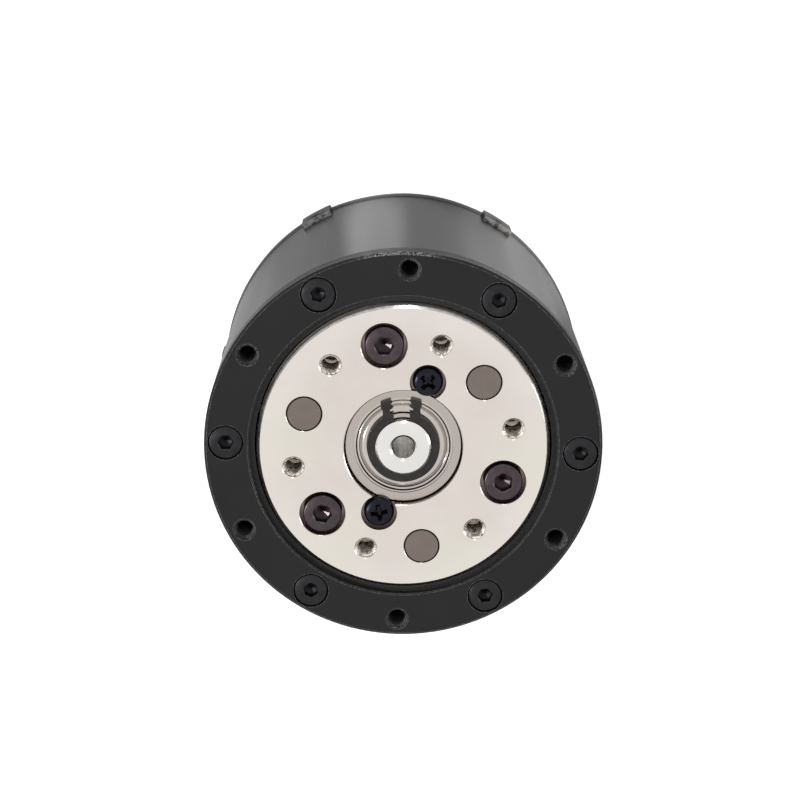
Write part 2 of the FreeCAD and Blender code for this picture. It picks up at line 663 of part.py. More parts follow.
# ================================================================ casings
def front_cover():
    """Ring that closes the front, with a register inside the housing."""
    trough_r = LIP_R + TROUGH_W
    spigot_r = BORE_R - SLIP
    body = turned([
        (LIP_R, Z_SPIGOT), (spigot_r, Z_SPIGOT), (spigot_r, Z_SEAM), (BODY_R - SEAM_CHAMFER, Z_SEAM),
        (BODY_R, Z_SEAM + SEAM_CHAMFER), (BODY_R, Z_FACE - COVER_CHAMFER), (BODY_R - COVER_CHAMFER, Z_FACE),
        (trough_r + EDGE, Z_FACE), (trough_r, Z_FACE - EDGE), (trough_r, Z_FACE - TROUGH_D),
        (LIP_R, Z_FACE - TROUGH_D)])
    seat_z = Z_FACE - COVER_HEAD_SINK - COVER_HEAD_H
    bolt = cylinder(COVER_SCREW_R + HOLE_CLEAR, Z_SPIGOT, Z_FACE, COVER_SCREW_CIRCLE)
    bolt = bolt.fuse(cylinder(COVER_HEAD_R + HEAD_CLEAR, seat_z, Z_FACE, COVER_SCREW_CIRCLE))
    tap = tapped_hole(TAP_M3_R, BODY_TAP_DEPTH, TAP_CHAMFER, Z_FACE, BODY_TAP_CIRCLE)
    taps = ring_of(tap, even(COVER_SCREW_COUNT, 180.0 / COVER_SCREW_COUNT))
    return cut_all(body, ring_of(bolt, even(COVER_SCREW_COUNT)) + taps)


def cover_screws():
    screw = socket_screw(COVER_SCREW_R, COVER_SCREW_L, COVER_HEAD_R, COVER_HEAD_H, COVER_KEY_AF,
                         Z_FACE - COVER_HEAD_SINK, COVER_SCREW_CIRCLE)
    return ring_of(screw, even(COVER_SCREW_COUNT))


def housing():
    """Tube with an inner front flange that carries the output bearing."""
    lip_r = OUT_BEARING_R - BEARING_LIP_W
    groove_r = BORE_R + SNAP_GROOVE
    groove_z = Z_MID - SNAP_RING_T
    body = turned([
        (REAR_BORE_R, REAR_RIM_T), (BODY_R - SEAM_CHAMFER, REAR_RIM_T), (BODY_R, REAR_RIM_T + SEAM_CHAMFER),
        (BODY_R, Z_SEAM - SEAM_CHAMFER), (BODY_R - SEAM_CHAMFER, Z_SEAM), (BORE_R, Z_SEAM),
        (BORE_R, Z_SPIGOT), (OUT_BEARING_R, Z_SPIGOT), (OUT_BEARING_R, Z_OUT_BEARING),
        (lip_r, Z_OUT_BEARING), (lip_r, Z_FLANGE), (BORE_R, Z_FLANGE),
        (BORE_R, Z_MID), (groove_r, Z_MID), (groove_r, groove_z), (BORE_R, groove_z),
        (BORE_R, Z_END_TOP), (REAR_BORE_R, Z_END_TOP)])
    screw_end = Z_FACE - COVER_HEAD_SINK - COVER_HEAD_H - COVER_SCREW_L - EDGE
    bolt = cylinder(COVER_SCREW_R + FIT, screw_end, Z_SEAM, COVER_SCREW_CIRCLE)
    tap = cylinder(TAP_M3_R, Z_FACE - BODY_TAP_DEPTH, Z_SEAM, BODY_TAP_CIRCLE)
    taps = ring_of(tap, even(COVER_SCREW_COUNT, 180.0 / COVER_SCREW_COUNT))
    side = radial_cylinder(TAB_SCREW_R + FIT, REAR_BORE_R - EDGE, BODY_R + EDGE, TAB_SCREW_Z)
    return cut_all(body, ring_of(bolt, even(COVER_SCREW_COUNT)) + taps + ring_of(side, even(TAB_COUNT)))


def radial_cylinder(radius, r0, r1, z):
    """Cylinder along X from one radius to another."""
    return Part.makeCylinder(radius, r1 - r0, Vector(r0, 0, z), Vector(1, 0, 0))


def rear_cover():
    """Cap with a skirt inside the housing and six screwed tabs outside it."""
    skirt_in = SKIRT_R - REAR_SKIRT_T
    body = turned([
        (0, 0), (REAR_RIM_R - REAR_CHAMFER, 0), (REAR_RIM_R, REAR_CHAMFER),
        (REAR_RIM_R, REAR_RIM_T - REAR_RIM_PROUD), (BODY_R, REAR_RIM_T), (SKIRT_R, REAR_RIM_T), (SKIRT_R, Z_END), (skirt_in, Z_END),
        (skirt_in, REAR_FLOOR_T), (0, REAR_FLOOR_T)])
    tab = turned([
        (BODY_R + FIT, TAB_START), (TAB_R, TAB_START), (TAB_R, TAB_H - TAB_CHAMFER),
        (TAB_R - TAB_CHAMFER, TAB_H), (BODY_R + FIT, TAB_H)])
    tab = tab.common(block(TAB_R, TAB_W, TAB_START, TAB_H, TAB_R / 2 + BODY_R / 2))
    body = body.fuse(ring_of(tab, even(TAB_COUNT)))
    screw = tab_screw(HOLE_CLEAR / 2)
    windows = []
    for size, y in ((POWER_SOCKET, -SOCKET_Y), (SIGNAL_SOCKET, SOCKET_Y)):
        size_x, size_y = size[0] + 2 * WINDOW_CLEAR, size[1] + 2 * WINDOW_CLEAR
        windows.append(block(size_x, size_y, 0, REAR_FLOOR_T, 0, y))
    return cut_all(body, ring_of(screw, even(TAB_COUNT)) + windows)


def tab_screw(clear=0.0):
    """Radial countersunk screw of a rear cover tab, grown by a clearance for its hole."""
    neck_r = TAB_R - TAB_HEAD_H
    head = Part.makeCone(TAB_SCREW_R + clear, TAB_HEAD_R + clear, TAB_HEAD_H,
                         Vector(neck_r, 0, TAB_SCREW_Z), Vector(1, 0, 0))
    return head.fuse(radial_cylinder(TAB_SCREW_R + clear, TAB_R - TAB_SCREW_L, neck_r, TAB_SCREW_Z))


def rear_cover_screws():
    key = radial_cylinder(TAB_KEY_R, TAB_R - TAB_KEY_DEPTH, TAB_R + EDGE, TAB_SCREW_Z)
    return ring_of(tab_screw().cut(key), even(TAB_COUNT))


# ================================================================ inside the housing
def mid_plate():
    """Bulkhead between gears and motor; its rim spaces the ring gear."""
    bearing_r = CARRIER_BEARING_OUT_R
    boss_r = bearing_r + MID_BOSS_T
    rim_in = BORE_R - FIT - MID_RIM_T
    floor_z = Z_MID + MID_PLATE_T
    return turned([
        (bearing_r - MID_LIP_W, Z_MID), (BORE_R - FIT, Z_MID), (BORE_R - FIT, Z_FLANGE - RING_W),
        (rim_in, Z_FLANGE - RING_W), (rim_in, floor_z), (boss_r, floor_z),
        (boss_r, Z_CARRIER - CARRIER_RUN - RUN), (bearing_r + FIT, Z_CARRIER - CARRIER_RUN - RUN),
        (bearing_r + FIT, Z_MID_BEARING), (bearing_r - MID_LIP_W, Z_MID_BEARING)])


def snap_ring():
    """Internal snap ring under the mid plate."""
    outer_r = BORE_R + SNAP_GROOVE - FIT
    inner_r = outer_r - SNAP_RING_W
    z0 = Z_MID - SNAP_RING_T
    section = Part.Face(Part.makePolygon([Vector(inner_r, 0, z0), Vector(outer_r, 0, z0),
                                          Vector(outer_r, 0, Z_MID), Vector(inner_r, 0, Z_MID),
                                          Vector(inner_r, 0, z0)]))
    return section.revolve(Vector(0, 0, 0), Z_AXIS, 360 - SNAP_GAP_ANGLE)


def rotor_bell():
    """Cup that carries the magnets, with a hub on the shaft and windows in its face."""
    rim_z = Z_STACK - MAGNET_OVERLAP - EDGE
    body = turned([
        (SHAFT_R, Z_BELL_TOP - BELL_HUB_L - BELL_T), (BELL_HUB_R, Z_BELL_TOP - BELL_HUB_L - BELL_T),
        (BELL_HUB_R, Z_BELL), (MAGNET_OUT_R, Z_BELL), (MAGNET_OUT_R, rim_z), (BELL_R, rim_z),
        (BELL_R, Z_BELL_TOP - EDGE), (BELL_R - EDGE, Z_BELL_TOP), (SHAFT_R, Z_BELL_TOP)])
    window = cylinder(BELL_WINDOW_R, Z_BELL, Z_BELL_TOP, (BELL_HUB_R + MAGNET_OUT_R) / 2)
    return cut_all(body, ring_of(window, even(BELL_WINDOW_COUNT)))


def rotor_magnets():
    z0 = Z_STACK - MAGNET_OVERLAP
    z1 = Z_STACK_TOP + MAGNET_OVERLAP
    inner_r, outer_r = MAGNET_IN_R, MAGNET_OUT_R - FIT
    section = Part.Face(Part.makePolygon([Vector(inner_r, 0, z0), Vector(outer_r, 0, z0),
                                          Vector(outer_r, 0, z1), Vector(inner_r, 0, z1),
                                          Vector(inner_r, 0, z0)]))
    magnet = section.revolve(Vector(0, 0, 0), Z_AXIS, 360.0 / POLE_COUNT * MAGNET_FILL)
    return ring_of(magnet, even(POLE_COUNT))


def stator_core():
    """Laminated stack: yoke, teeth and pole shoes from one outline."""
    yoke_r = STATOR_BORE_R + YOKE_T
    shoe_r = STATOR_R - SHOE_T
    half_pitch = 180.0 / SLOT_COUNT
    tooth_foot = math.degrees(math.asin(TOOTH_W / 2 / yoke_r))
    tooth_neck = math.degrees(math.asin(TOOTH_W / 2 / shoe_r))
    shoe_half = half_pitch - math.degrees(SLOT_OPENING / 2 / STATOR_R)
    edges = []
    for centre in even(SLOT_COUNT):
        stops = [(yoke_r, -tooth_foot), (shoe_r, -tooth_neck),
                 (shoe_r + SHOE_T / 3, -shoe_half), (STATOR_R, -shoe_half)]
        left = [Vector(*polar(r, centre + a), 0) for r, a in stops]
        right = [Vector(*polar(r, centre - a), 0) for r, a in reversed(stops)]
        next_foot = Vector(*polar(yoke_r, centre + 2 * half_pitch - tooth_foot), 0)
        for start, end in zip(left[:-1], left[1:]):
            edges.append(Part.LineSegment(start, end).toShape())
        edges.append(Part.Arc(left[-1], Vector(*polar(STATOR_R, centre), 0), right[0]).toShape())
        for start, end in zip(right[:-1], right[1:]):
            edges.append(Part.LineSegment(start, end).toShape())
        middle = Vector(*polar(yoke_r, centre + half_pitch), 0)
        edges.append(Part.Arc(right[-1], middle, next_foot).toShape())
    face = Part.Face(Part.Wire(edges))
    stack = face.extrude(Vector(0, 0, STACK_L))
    stack.translate(Vector(0, 0, Z_STACK))
    return stack.cut(cylinder(STATOR_BORE_R, Z_STACK, Z_STACK_TOP))


def stator_windings():
    """One wound coil round each tooth."""
    inner_r = STATOR_BORE_R + YOKE_T + COIL_T / 2
    outer_r = STATOR_R - SHOE_T - COIL_CLEAR
    middle = (inner_r + outer_r) / 2
    depth = outer_r - inner_r
    outside = block(depth, TOOTH_W + 2 * COIL_T, Z_STACK - COIL_END, Z_STACK_TOP + COIL_END, middle)
    inside = block(depth, TOOTH_W + 2 * COIL_CLEAR, Z_STACK - COIL_CLEAR, Z_STACK_TOP + COIL_CLEAR, middle)
    return ring_of(outside.cut(inside), even(SLOT_COUNT))


def end_plate():
    """Motor end plate with the stator boss, the rear bearing seat and the board stand-offs."""
    seat_r = REAR_BEARING_OUT_R + FIT
    boss_r = STATOR_BORE_R - FIT
    bearing_top = Z_REAR_BEARING + REAR_BEARING_W
    body = turned([
        (seat_r - END_LIP_W, Z_END), (SKIRT_R, Z_END), (SKIRT_R, Z_END_TOP),
        (STATOR_BORE_R + STATOR_SHOULDER_W, Z_END_TOP), (STATOR_BORE_R + STATOR_SHOULDER_W, Z_STACK),
        (boss_r, Z_STACK), (boss_r, Z_STACK_TOP), (BOSS_BORE_R, Z_STACK_TOP), (BOSS_BORE_R, bearing_top),
        (seat_r, bearing_top), (seat_r, Z_REAR_BEARING), (seat_r - END_LIP_W, Z_REAR_BEARING)])
    angles = even(BOARD_SCREW_COUNT, BOARD_SCREW_ANGLE)
    body = body.fuse(ring_of(cylinder(STANDOFF_R, Z_BOARD_TOP, Z_END + EDGE, BOARD_SCREW_CIRCLE), angles))
    taps = ring_of(cylinder(BOARD_SCREW_R + FIT, Z_BOARD_TOP, Z_END_TOP, BOARD_SCREW_CIRCLE), angles)
    wires = ring_of(cylinder(PHASE_PIN_R + HEAD_CLEAR, Z_END, Z_END_TOP, PHASE_PIN_CIRCLE), phase_angles())
    return cut_all(body, taps + wires)


def phase_angles():
    return [180.0 + PHASE_PIN_STEP * (i - (PHASE_PIN_COUNT - 1) / 2) for i in range(PHASE_PIN_COUNT)]


def phase_pins():
    pin = cylinder(PHASE_PIN_R, Z_BOARD, Z_STACK - COIL_END, PHASE_PIN_CIRCLE)
    return ring_of(pin, phase_angles())


def driver_board():
    board = cylinder(BOARD_R, Z_BOARD, Z_BOARD_TOP)
    holes = ring_of(cylinder(BOARD_SCREW_R + HOLE_CLEAR, Z_BOARD, Z_BOARD_TOP, BOARD_SCREW_CIRCLE),
                    even(BOARD_SCREW_COUNT, BOARD_SCREW_ANGLE))
    leads = ring_of(cylinder(PHASE_PIN_R + SLIP, Z_BOARD, Z_BOARD_TOP, PHASE_PIN_CIRCLE), phase_angles())
    return cut_all(board, holes + leads)


def board_chips():
    """Encoder chip on the motor side; controller, power switches and capacitors on the rear side."""
    chips = [block(*ENCODER_CHIP, Z_BOARD_TOP, Z_BOARD_TOP + CHIP_H)]
    chips.append(block(CONTROL_CHIP, CONTROL_CHIP, Z_BOARD - CHIP_H, Z_BOARD))
    for side in (-1, 1):
        for row in SWITCH_ROWS:
            chips.append(block(SWITCH_CHIP, SWITCH_CHIP, Z_BOARD - CHIP_H, Z_BOARD,
                               side * SWITCH_X, row * SWITCH_PITCH))
        chips.append(block(*CAPACITOR, Z_BOARD - CAPACITOR_H, Z_BOARD, side * CAPACITOR_X, -SOCKET_Y))
    return chips


def board_screws():
    length = BOARD_T + BOARD_GAP + END_PLATE_T / 2
    screw = pan_screw(BOARD_SCREW_R, length, BOARD_HEAD_R, BOARD_HEAD_H, 0.0, 0.0)
    screw.rotate(Vector(0, 0, 0), Vector(1, 0, 0), 180)
    screw.translate(Vector(BOARD_SCREW_CIRCLE, 0, Z_BOARD))
    return ring_of(screw, even(BOARD_SCREW_COUNT, BOARD_SCREW_ANGLE))


def socket_shell(size, y):
    """Board socket: a shroud that opens to the rear."""
    shell = block(size[0], size[1], SOCKET_SINK, Z_BOARD, 0, y)
    size_x, size_y = size[0] - 2 * SOCKET_WALL, size[1] - 2 * SOCKET_WALL
    return shell.cut(block(size_x, size_y, SOCKET_SINK, Z_BOARD - SOCKET_FLOOR, 0, y))


def power_contacts():
    tip = SOCKET_SINK + SOCKET_WALL
    return [cylinder(POWER_PIN_R, tip, Z_BOARD - SOCKET_FLOOR, side * POWER_PIN_PITCH / 2, -SOCKET_Y)
            for side in (-1, 1)]


def signal_contacts():
    tip = SOCKET_SINK + SOCKET_WALL
    foot = Z_BOARD - SOCKET_FLOOR
    first_x = -SIGNAL_PIN_PITCH * (SIGNAL_PIN_COUNT - 1) / 2
    return [block(SIGNAL_PIN, SIGNAL_PIN, tip, foot, first_x + i * SIGNAL_PIN_PITCH, SOCKET_Y)
            for i in range(SIGNAL_PIN_COUNT)]


def encoder_magnet():
    return cylinder(ENCODER_MAGNET_R, Z_SHAFT_REAR - ENCODER_MAGNET_T, Z_SHAFT_REAR)


# ================================================================ nodes
def build():
    nodes = {
        "front_cover": front_cover(),
        "cover_screws": cover_screws(),
        "housing": housing(),
        "rear_cover": rear_cover(),
        "rear_cover_screws": rear_cover_screws(),
        "output_flange": output_flange(),
        "planet_pins": planet_pins(),
        "planet_washers": planet_washers(),
        "carrier_screws": carrier_screws(),
        "carrier_plate": carrier_plate(),
        "output_bearing_outer": output_bearing_outer(),
        "output_bearing_inner": output_bearing_inner(),
        "output_bearing_rollers": output_bearing_rollers(),
        "nose_circlip": nose_circlip(),
        "bearing_screws": bearing_screws(),
        "sun_shaft": sun_shaft(),
        "ring_gear": ring_gear(),
        "mid_plate": mid_plate(),
        "snap_ring": snap_ring(),
        "rotor_bell": rotor_bell(),
        "rotor_magnets": rotor_magnets(),
        "stator_core": stator_core(),
        "stator_windings": stator_windings(),
        "end_plate": end_plate(),
        "phase_pins": phase_pins(),
        "driver_board": driver_board(),
        "board_chips": board_chips(),
        "board_screws": board_screws(),
        "power_socket": socket_shell(POWER_SOCKET, -SOCKET_Y),
        "power_contacts": power_contacts(),
        "signal_socket": socket_shell(SIGNAL_SOCKET, SOCKET_Y),
        "signal_contacts": signal_contacts(),
        "encoder_magnet": encoder_magnet(),
    }
    bearings = (
        ("nose_bearing", SHAFT_R, NOSE_OUT_R, RING_SHARE, Z_NOSE_BOTTOM, NOSE_W),
        ("carrier_bearing", CARRIER_BEARING_IN_R, CARRIER_BEARING_OUT_R, CARRIER_BEARING_SHARE,
         Z_MID_BEARING, CARRIER_BEARING_W),
        ("rear_bearing", SHAFT_R, REAR_BEARING_OUT_R, RING_SHARE, Z_REAR_BEARING, REAR_BEARING_W),
    )
    for name, in_r, out_r, share, z0, width in bearings:
        for piece, shape in ball_bearing(in_r, out_r, share, z0, width).items():
            nodes[name + "_" + piece] = shape
    for index, angle in enumerate(CARRIER_ANGLES, start=1):
        nodes["planet_gear_%d" % index] = planet_gear(angle)
        nodes["planet_bush_%d" % index] = planet_bush(angle)
    return nodes


def main():
    os.makedirs("parts", exist_ok=True)
    for name, shape in build().items():
        solid = Part.makeCompound(shape) if isinstance(shape, list) else shape
        solid.exportStep("parts/%s.step" % name)


main()
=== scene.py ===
import json
import math

import bmesh
import bpy
from mathutils import Matrix, Vector

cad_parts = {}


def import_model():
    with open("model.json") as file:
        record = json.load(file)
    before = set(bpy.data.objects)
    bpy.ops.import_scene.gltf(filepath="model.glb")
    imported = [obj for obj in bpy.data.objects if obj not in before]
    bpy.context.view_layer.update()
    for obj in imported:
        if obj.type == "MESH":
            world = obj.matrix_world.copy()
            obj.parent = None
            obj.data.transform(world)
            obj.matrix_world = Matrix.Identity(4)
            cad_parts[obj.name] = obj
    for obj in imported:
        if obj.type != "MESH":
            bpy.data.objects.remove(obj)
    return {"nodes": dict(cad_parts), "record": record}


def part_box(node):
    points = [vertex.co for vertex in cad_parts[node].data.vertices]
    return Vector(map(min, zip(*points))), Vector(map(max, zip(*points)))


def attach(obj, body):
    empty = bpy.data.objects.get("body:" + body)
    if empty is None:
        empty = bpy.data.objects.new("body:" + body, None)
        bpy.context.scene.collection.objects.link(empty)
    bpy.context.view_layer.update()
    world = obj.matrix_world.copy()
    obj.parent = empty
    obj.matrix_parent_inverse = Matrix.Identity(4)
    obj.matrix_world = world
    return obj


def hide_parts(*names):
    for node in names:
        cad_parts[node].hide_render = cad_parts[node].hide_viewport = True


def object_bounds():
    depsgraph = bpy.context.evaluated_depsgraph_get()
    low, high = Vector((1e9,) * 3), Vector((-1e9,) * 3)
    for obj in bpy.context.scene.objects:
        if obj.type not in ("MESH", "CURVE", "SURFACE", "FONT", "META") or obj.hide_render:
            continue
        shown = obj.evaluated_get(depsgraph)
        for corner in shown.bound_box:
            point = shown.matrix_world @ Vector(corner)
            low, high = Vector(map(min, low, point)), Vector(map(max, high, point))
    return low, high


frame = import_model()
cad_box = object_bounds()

MM = 0.001
TOP = cad_box[1].z
FLOOR_LEVEL = cad_box[0].z - 0.01 * MM


# ================================================================ places read from the frame
def radius_of(node):
    """Radius of a round node, in millimetres."""
    low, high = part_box(node)
    return (high.x - low.x) / 2 / MM


def islands(node):
    """Middle, lowest and highest corner of each separate solid of a node, in order round the axis."""
    mesh = bmesh.new()
    mesh.from_mesh(frame["nodes"][node].data)
    bmesh.ops.remove_doubles(mesh, verts=mesh.verts, dist=0.001 * MM)
    found = []
    waiting = set(mesh.verts)
    while waiting:
        group = [waiting.pop()]
        for vert in group:
            for edge in vert.link_edges:
                other = edge.other_vert(vert)
                if other in waiting:
                    waiting.remove(other)
                    group.append(other)
        low = Vector([min(v.co[i] for v in group) for i in range(3)])
        high = Vector([max(v.co[i] for v in group) for i in range(3)])
        found.append(((low + high) / 2, low, high))
    mesh.free()
    return sorted(found, key=lambda item: math.atan2(item[0].y, item[0].x))


def centres(node):
    """Middle of each separate solid of a node."""
    return [where for where, low, high in islands(node)]


def bolt_circle(mount, turn):
    """Places and angles of a mount's holes, from the record."""
    circle = next(row for row in frame["record"]["mounts"] if row["name"] == mount)["dims"]
    radius = circle["pcd_mm"] / 2 * MM
    angles = [turn + 360.0 * index / circle["count"] for index in range(circle["count"])]
    return [(Vector((radius * math.cos(math.radians(a)), radius * math.sin(math.radians(a)), TOP)), a)
            for a in angles]


OUTPUT_TURN = 12.14      # degrees from +X to the first hole, at rest
COVER_TURN = 30.0
OUTPUT_HOLES = bolt_circle("output_bolts", OUTPUT_TURN)
COVER_HOLES = bolt_circle("housing_bolts", COVER_TURN)


# ================================================================ modelling helpers
def deselect():
    bpy.ops.object.select_all(action="DESELECT")


def named(name):
    """Names the active object and its mesh."""
    piece = bpy.context.object
    piece.name = name
    piece.data.name = name
    return piece


def settle(piece):
    """Puts the object at the origin, with its place in its mesh."""
    deselect()
    piece.select_set(True)
    bpy.context.view_layer.objects.active = piece
    bpy.ops.object.transform_apply(location=True, rotation=True, scale=True)
    return piece


def edit(piece, kind="FACE"):
    """Opens a piece in edit mode, to pick faces, edges or vertices."""
    deselect()
    piece.select_set(True)
    bpy.context.view_layer.objects.active = piece
    bpy.ops.object.mode_set(mode="EDIT")
    bpy.ops.mesh.select_mode(type=kind)


def leave():
    bpy.ops.object.mode_set(mode="OBJECT")


def pick_faces(piece, test):
    """Selects the faces whose centre and normal pass a test."""
    bpy.ops.mesh.select_all(action="DESELECT")
    mesh = bmesh.from_edit_mesh(piece.data)
    for face in mesh.faces:
        face.select_set(test(face.calc_center_median(), face.normal))
    bmesh.update_edit_mesh(piece.data)


def pick_verts(piece, test):
    """Selects the vertices whose place passes a test."""
    bpy.ops.mesh.select_all(action="DESELECT")
    mesh = bmesh.from_edit_mesh(piece.data)
    for vert in mesh.verts:
        vert.select_set(test(vert.co))
    mesh.select_flush_mode()
    bmesh.update_edit_mesh(piece.data)


def draw_rings(outline):
    """Draws the selected loop or face out ring by ring along (radius, height) points, in millimetres."""
    radius, height = outline[0]
    for next_radius, next_height in outline[1:]:
        lift = (0, 0, (next_height - height) * MM)
        bpy.ops.mesh.extrude_region_move(TRANSFORM_OT_translate={"value": lift})
        share = next_radius / radius
        bpy.ops.transform.resize(value=(share, share, 1), center_override=(0, 0, next_height * MM))
        radius, height = next_radius, next_height


def tidy_shell():
    """Merges what coincides and turns all faces outwards."""
    bpy.ops.mesh.select_all(action="SELECT")
    bpy.ops.mesh.remove_doubles(threshold=0.0002 * MM)
    bpy.ops.mesh.normals_make_consistent(inside=False)


def turned_bar(name, outline, sides=48):
    """Solid turned about the axis, from its bottom face up, by (radius, height) points."""
    deselect()
    radius, height = outline[0]
    bpy.ops.mesh.primitive_circle_add(
        vertices=sides, radius=radius * MM, location=(0, 0, height * MM), fill_type="NGON")
    piece = settle(named(name))
    edit(piece)
    bpy.ops.mesh.select_all(action="SELECT")
    draw_rings(outline)
    tidy_shell()
    leave()
    return piece


def turned_ring(name, outline, sides):
    """Closed ring turned about the axis by (radius, height) points."""
    deselect()
    radius, height = outline[0]
    bpy.ops.mesh.primitive_circle_add(
        vertices=sides, radius=radius * MM, location=(0, 0, height * MM), fill_type="NOTHING")
    piece = settle(named(name))
    edit(piece, "EDGE")
    bpy.ops.mesh.select_all(action="SELECT")
    draw_rings(outline + outline[:1])
    tidy_shell()
    leave()
    return piece


def modify(piece, kind, **settings):
    """Adds a modifier and applies it."""
    deselect()
    piece.select_set(True)
    bpy.context.view_layer.objects.active = piece
    modifier = piece.modifiers.new(kind.lower(), kind)
    for key, value in settings.items():
        setattr(modifier, key, value)
    bpy.ops.object.modifier_apply(modifier=modifier.name)


def cut(piece, cutter):
    """Takes a cutter out of a piece; the cutter goes."""
    modify(piece, "BOOLEAN", operation="DIFFERENCE", solver="EXACT", object=cutter)
    bpy.data.objects.remove(cutter)


def smooth(piece, angle=35):
    """Shades a piece smooth, except across edges sharper than an angle."""
    deselect()
    piece.select_set(True)
    bpy.context.view_layer.objects.active = piece
    bpy.ops.object.shade_smooth_by_angle(angle=math.radians(angle))
    return piece


def copies_at(piece, base, places):
    """Copies of a piece with their own meshes, turned and moved to (x, y, z, angle)."""
    twins = []
    for index, (x, y, z, angle) in enumerate(places, start=1):
        twin = piece.copy()
        twin.data = piece.data.copy()
        twin.name = "%s_%d" % (base, index)
        twin.data.name = twin.name
        bpy.context.scene.collection.objects.link(twin)
        twin.data.transform(Matrix.Translation((x, y, z)) @ Matrix.Rotation(math.radians(angle), 4, "Z"))
        twins.append(twin)
    bpy.data.objects.remove(piece)
    return twins


def dress(piece, finish, body):
    """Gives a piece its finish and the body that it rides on."""
    piece.data.materials.clear()
    piece.data.materials.append(finishes[finish])
    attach(piece, body)
    return piece


# ================================================================ finishes
VALUE_A, VALUE_B, COLOUR_A, COLOUR_B = 2, 3, 6, 7      # sockets of the Mix node


class Finish:
    """One Principled shader and the nodes that feed it; lengths in its patterns are millimetres."""

    def __init__(self, name, colour, metallic, roughness, specular=0.5):
        self.material = bpy.data.materials.new(name)
        self.material.use_nodes = True
        self.tree = self.material.node_tree
        self.shader = self.tree.nodes["Principled BSDF"]
        self.shader.inputs["Base Color"].default_value = (*colour, 1)
        self.shader.inputs["Metallic"].default_value = metallic
        self.shader.inputs["Roughness"].default_value = roughness
        self.shader.inputs["Specular IOR Level"].default_value = specular
        self.name = name
        self.roughness = roughness
        coordinates = self.tree.nodes.new("ShaderNodeTexCoord")
        self.place = self.vector("SCALE", coordinates.outputs["Object"], scale=1 / MM)
        self.heights = []

    def join(self, node, socket, value):
        """Feeds a node's socket from another socket or with a plain value."""
        if isinstance(value, bpy.types.NodeSocket):
            self.tree.links.new(value, node.inputs[socket])
        else:
            node.inputs[socket].default_value = value

    def vector(self, operation, first, second=None, scale=None):
        node = self.tree.nodes.new("ShaderNodeVectorMath")
        node.operation = operation
        self.join(node, 0, first)
        if second is not None:
            self.join(node, 1, second)
        if scale is not None:
            node.inputs["Scale"].default_value = scale
        return node.outputs["Value" if operation in ("LENGTH", "DOT_PRODUCT") else "Vector"]

    def maths(self, operation, first, second):
        node = self.tree.nodes.new("ShaderNodeMath")
        node.operation = operation
        self.join(node, 0, first)
        self.join(node, 1, second)
        return node.outputs[0]

    def span(self, value, low, high, out_low=0.0, out_high=1.0, kind="SMOOTHSTEP"):
        """Brings a value from one range to another, held at the ends."""
        node = self.tree.nodes.new("ShaderNodeMapRange")
        node.interpolation_type = kind
        self.join(node, 0, value)
        for socket, number in zip((1, 2, 3, 4), (low, high, out_low, out_high)):
            node.inputs[socket].default_value = number
        return node.outputs[0]

    def noise(self, per_mm, detail=3.0, rough=0.55, stretch=(1.0, 1.0, 1.0), where=None):
        """Noise with so many features to the millimetre, drawn out along axes with a small stretch."""
        node = self.tree.nodes.new("ShaderNodeTexNoise")
        scaled = self.vector("MULTIPLY", where or self.place, stretch)
        self.join(node, "Vector", scaled)
        node.inputs["Scale"].default_value = per_mm
        node.inputs["Detail"].default_value = detail
        node.inputs["Roughness"].default_value = rough
        return node.outputs[0]

    def flat(self):
        """The place without its height."""
        return self.vector("MULTIPLY", self.place, (1.0, 1.0, 0.0))

    def radius(self):
        """Distance from the motor axis."""
        return self.vector("LENGTH", self.flat())

    def around(self):
        """Direction from the motor axis, for marks that run along it."""
        return self.vector("NORMALIZE", self.flat())

    def height(self):
        """Height along the motor axis."""
        split = self.tree.nodes.new("ShaderNodeSeparateXYZ")
        self.join(split, 0, self.place)
        return split.outputs[2]

    def lathe_place(self):
        """Radius and height as a place, for the rings that a lathe leaves."""
        both = self.tree.nodes.new("ShaderNodeCombineXYZ")
        self.join(both, 0, self.radius())
        self.join(both, 2, self.height())
        return both.outputs[0]

    def below(self, level, fade):
        """One under a height."""
        return self.span(self.height(), level - fade, level, 1.0, 0.0)

    def above(self, level, fade):
        """One over a height."""
        return self.span(self.height(), level, level + fade)

    def within(self, radius, fade=0.05):
        """One inside a radius about the motor axis."""
        return self.span(self.radius(), radius, radius + fade, 1.0, 0.0)

    def beyond(self, radius, fade=0.1):
        """One outside a radius about the motor axis."""
        return self.span(self.radius(), radius, radius + fade)

    def sunk(self, depth, fade=0.06):
        """One where the surface lies deeper than this under the front face."""
        return self.below(TOP / MM - depth, fade)

    def near(self, places, radius, fade=0.1):
        """One within a radius of the upright axes at some places."""
        total = 0.0
        for place in places:
            apart = self.vector("SUBTRACT", self.place, (place.x / MM, place.y / MM, 0.0))
            apart = self.vector("LENGTH", self.vector("MULTIPLY", apart, (1.0, 1.0, 0.0)))
            total = self.maths("MAXIMUM", total, self.span(apart, radius, radius + fade, 1.0, 0.0))
        return total

    def both(self, first, *others):
        """One where every mask is one."""
        total = first
        for mask in others:
            total = self.maths("MULTIPLY", total, mask)
        return total

    def edge(self, width, strength=1.0):
        """One along sharp edges, nought on flats."""
        bevel = self.tree.nodes.new("ShaderNodeBevel")
        bevel.samples = 6
        bevel.inputs["Radius"].default_value = width * MM
        geometry = self.tree.nodes.new("ShaderNodeNewGeometry")
        along = self.vector("DOT_PRODUCT", bevel.outputs[0], geometry.outputs["Normal"])
        return self.span(along, 0.999, 0.972, 0.0, strength)

    def carry(self, socket, node, slot):
        """Passes what feeds a socket of the shader, or its constant, on to a node."""
        if socket.links:
            self.tree.links.new(socket.links[0].from_socket, node.inputs[slot])
        else:
            node.inputs[slot].default_value = socket.default_value

